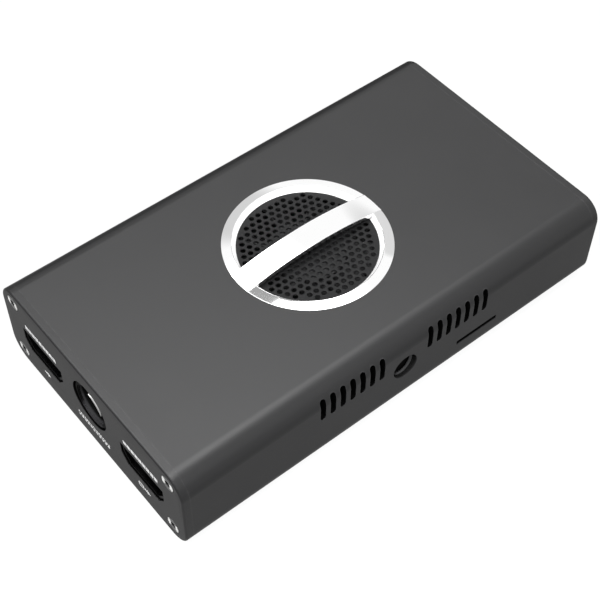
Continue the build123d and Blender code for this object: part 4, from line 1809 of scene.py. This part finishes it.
@dataclass
class Studio:
    """Floor, lamps, background and camera. Places, reaches and floor_half are in metres."""

    camera_place: Triple = (-0.12375, -0.14810, 0.24760)
    azimuth: float = -39.395
    elevation: float = 51.683
    roll: float = 0.499
    lens: float = 78.42
    sensor: float = 36.0
    near_clip: float = 0.01
    floor_half: float = 2.5
    floor_drop: float = 0.02
    floor_colour: Triple = (0.1, 0.1, 0.1)
    floor_roughness: float = 0.9
    floor_glow: float = 0.88
    floor_mirror: float = 0.2
    front_mirror: float = 0.35
    front_reach: Point = (-0.06, -0.2)
    back_reach: Point = (0.03, 0.12)
    patches: tuple[SkyPatch, ...] = (
        SkyPatch(0.0, -90.0, 110.0, 6.0, 0.46),
        SkyPatch(58.0, -14.0, 30.0, 6.0, 0.1),
        SkyPatch(-40.0, 2.0, 34.0, 6.0, 0.85),
        SkyPatch(82.3, 76.9, 23.3, 4.0, 5.76),
        SkyPatch(23.5, 36.5, 11.0, 1.2, 0.72),
        SkyPatch(69.0, 35.0, 10.0, 4.0, 0.66),
        SkyPatch(78.0, 64.9, 5.6, 0.9, 0.38),
        SkyPatch(61.0, 67.6, 4.4, 0.9, 0.42),
    )
    lamps: tuple[Lamp, ...] = (
        Lamp("key", (-0.13, -0.065, 0.24), 0.12, 0.6),
        Lamp("side", (-0.031, -0.167, 0.147), 0.12, 0.3),
        Lamp("top", (0.1, 0.2, 0.7), 0.5, 0.5),
    )
    target: Triple = (0.0, 0.0, 0.012)

    def add_camera(self) -> None:
        """Places the camera and makes it the scene's."""
        azimuth, elevation = math.radians(self.azimuth), math.radians(self.elevation)
        back = Vector((
            math.sin(azimuth) * math.cos(elevation),
            -math.cos(azimuth) * math.cos(elevation),
            math.sin(elevation),
        ))
        right = (-back).cross(Vector((0, 0, 1))).normalized()
        up = right.cross(-back)
        axes = Matrix((right, up, back)).transposed().to_4x4()
        data = bpy.data.cameras.new("camera")
        data.lens = self.lens
        data.sensor_width = self.sensor
        data.sensor_fit = "HORIZONTAL"
        data.clip_start = self.near_clip
        camera = bpy.data.objects.new("camera", data)
        turn = Matrix.Rotation(math.radians(self.roll), 4, "Z")
        camera.matrix_world = Matrix.Translation(self.camera_place) @ axes @ turn
        bpy.context.scene.collection.objects.link(camera)
        bpy.context.scene.camera = camera

    def add_sky(self) -> None:
        """A plain white sky. Shiny surfaces mirror it with its patches."""
        world = bpy.data.worlds.new("sky")
        world.use_nodes = True
        tree = Tree(world.node_tree)
        direction = tree.node("ShaderNodeTexCoord").outputs["Generated"]
        mirrored: Any = WHITE
        for patch in self.patches:
            mirrored = tree.mix(patch.inside(tree, direction), mirrored, (patch.level,) * 3)
        glossy = Value(tree, tree.node("ShaderNodeLightPath").outputs["Is Glossy Ray"])
        inputs = {"Color": tree.mix(glossy, WHITE, mirrored), "Strength": 1.0}
        sky = tree.node("ShaderNodeBackground", None, inputs)
        tree.node("ShaderNodeOutputWorld", None, {"Surface": sky.outputs[0]})
        bpy.context.scene.world = world

    def add_floor(self) -> None:
        """A pale floor that keeps the part's shadow and is white where it is lit."""
        solid = Solid()
        half = self.floor_half / MM
        signs = ((-1, -1), (1, -1), (1, 1), (-1, 1))
        corners = [solid.point(x * half, y * half, -self.floor_drop) for x, y in signs]
        solid.mesh.faces.new(corners)
        floor = solid.make("floor")
        shader = Shader("floor")
        shader.set(Base_Color=self.floor_colour, Roughness=self.floor_roughness)
        shader.set(Specular_IOR_Level=0.0)
        split = shader.node("ShaderNodeSeparateXYZ", None, {0: shader.place()})
        x, y = (Value(shader, socket) for socket in split.outputs[:2])
        front = 1 - y.rise(self.front_reach[1], self.front_reach[0])
        back = (x + y).rise(*self.back_reach)
        mirror = (self.floor_mirror + self.front_mirror * front) * (1 - back)
        path = shader.node("ShaderNodeLightPath")
        seen = Value(shader, path.outputs["Is Camera Ray"]) * self.floor_glow
        level = seen + Value(shader, path.outputs["Is Glossy Ray"]) * mirror
        glow = shader.node("ShaderNodeEmission", None, {"Color": WHITE, "Strength": level})
        inputs = {0: shader.surface.outputs[0], 1: glow.outputs[0]}
        both = shader.node("ShaderNodeAddShader", None, inputs)
        shader.plug(shader.output.inputs["Surface"], both.outputs[0])
        floor.data.materials.append(shader.material)
        floor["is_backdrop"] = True

    def build(self) -> None:
        """Sets up the whole studio."""
        self.add_camera()
        self.add_sky()
        self.add_floor()
        for lamp in self.lamps:
            lamp.add(self.target)
        bpy.context.scene.view_settings.view_transform = "Standard"


def main() -> None:
    """Builds every sub-assembly in order."""
    shop = Workshop()
    shop.dress_nodes()
    makers = (Case, TripodThread, RingAndBar, Grille, Cooling, FrontPorts, RearPorts, PrintedMarks)
    for maker in makers:
        maker(shop).build()
        log.info("built %s", maker.__name__)
    Studio().build()


if __name__ == "__main__":
    main()
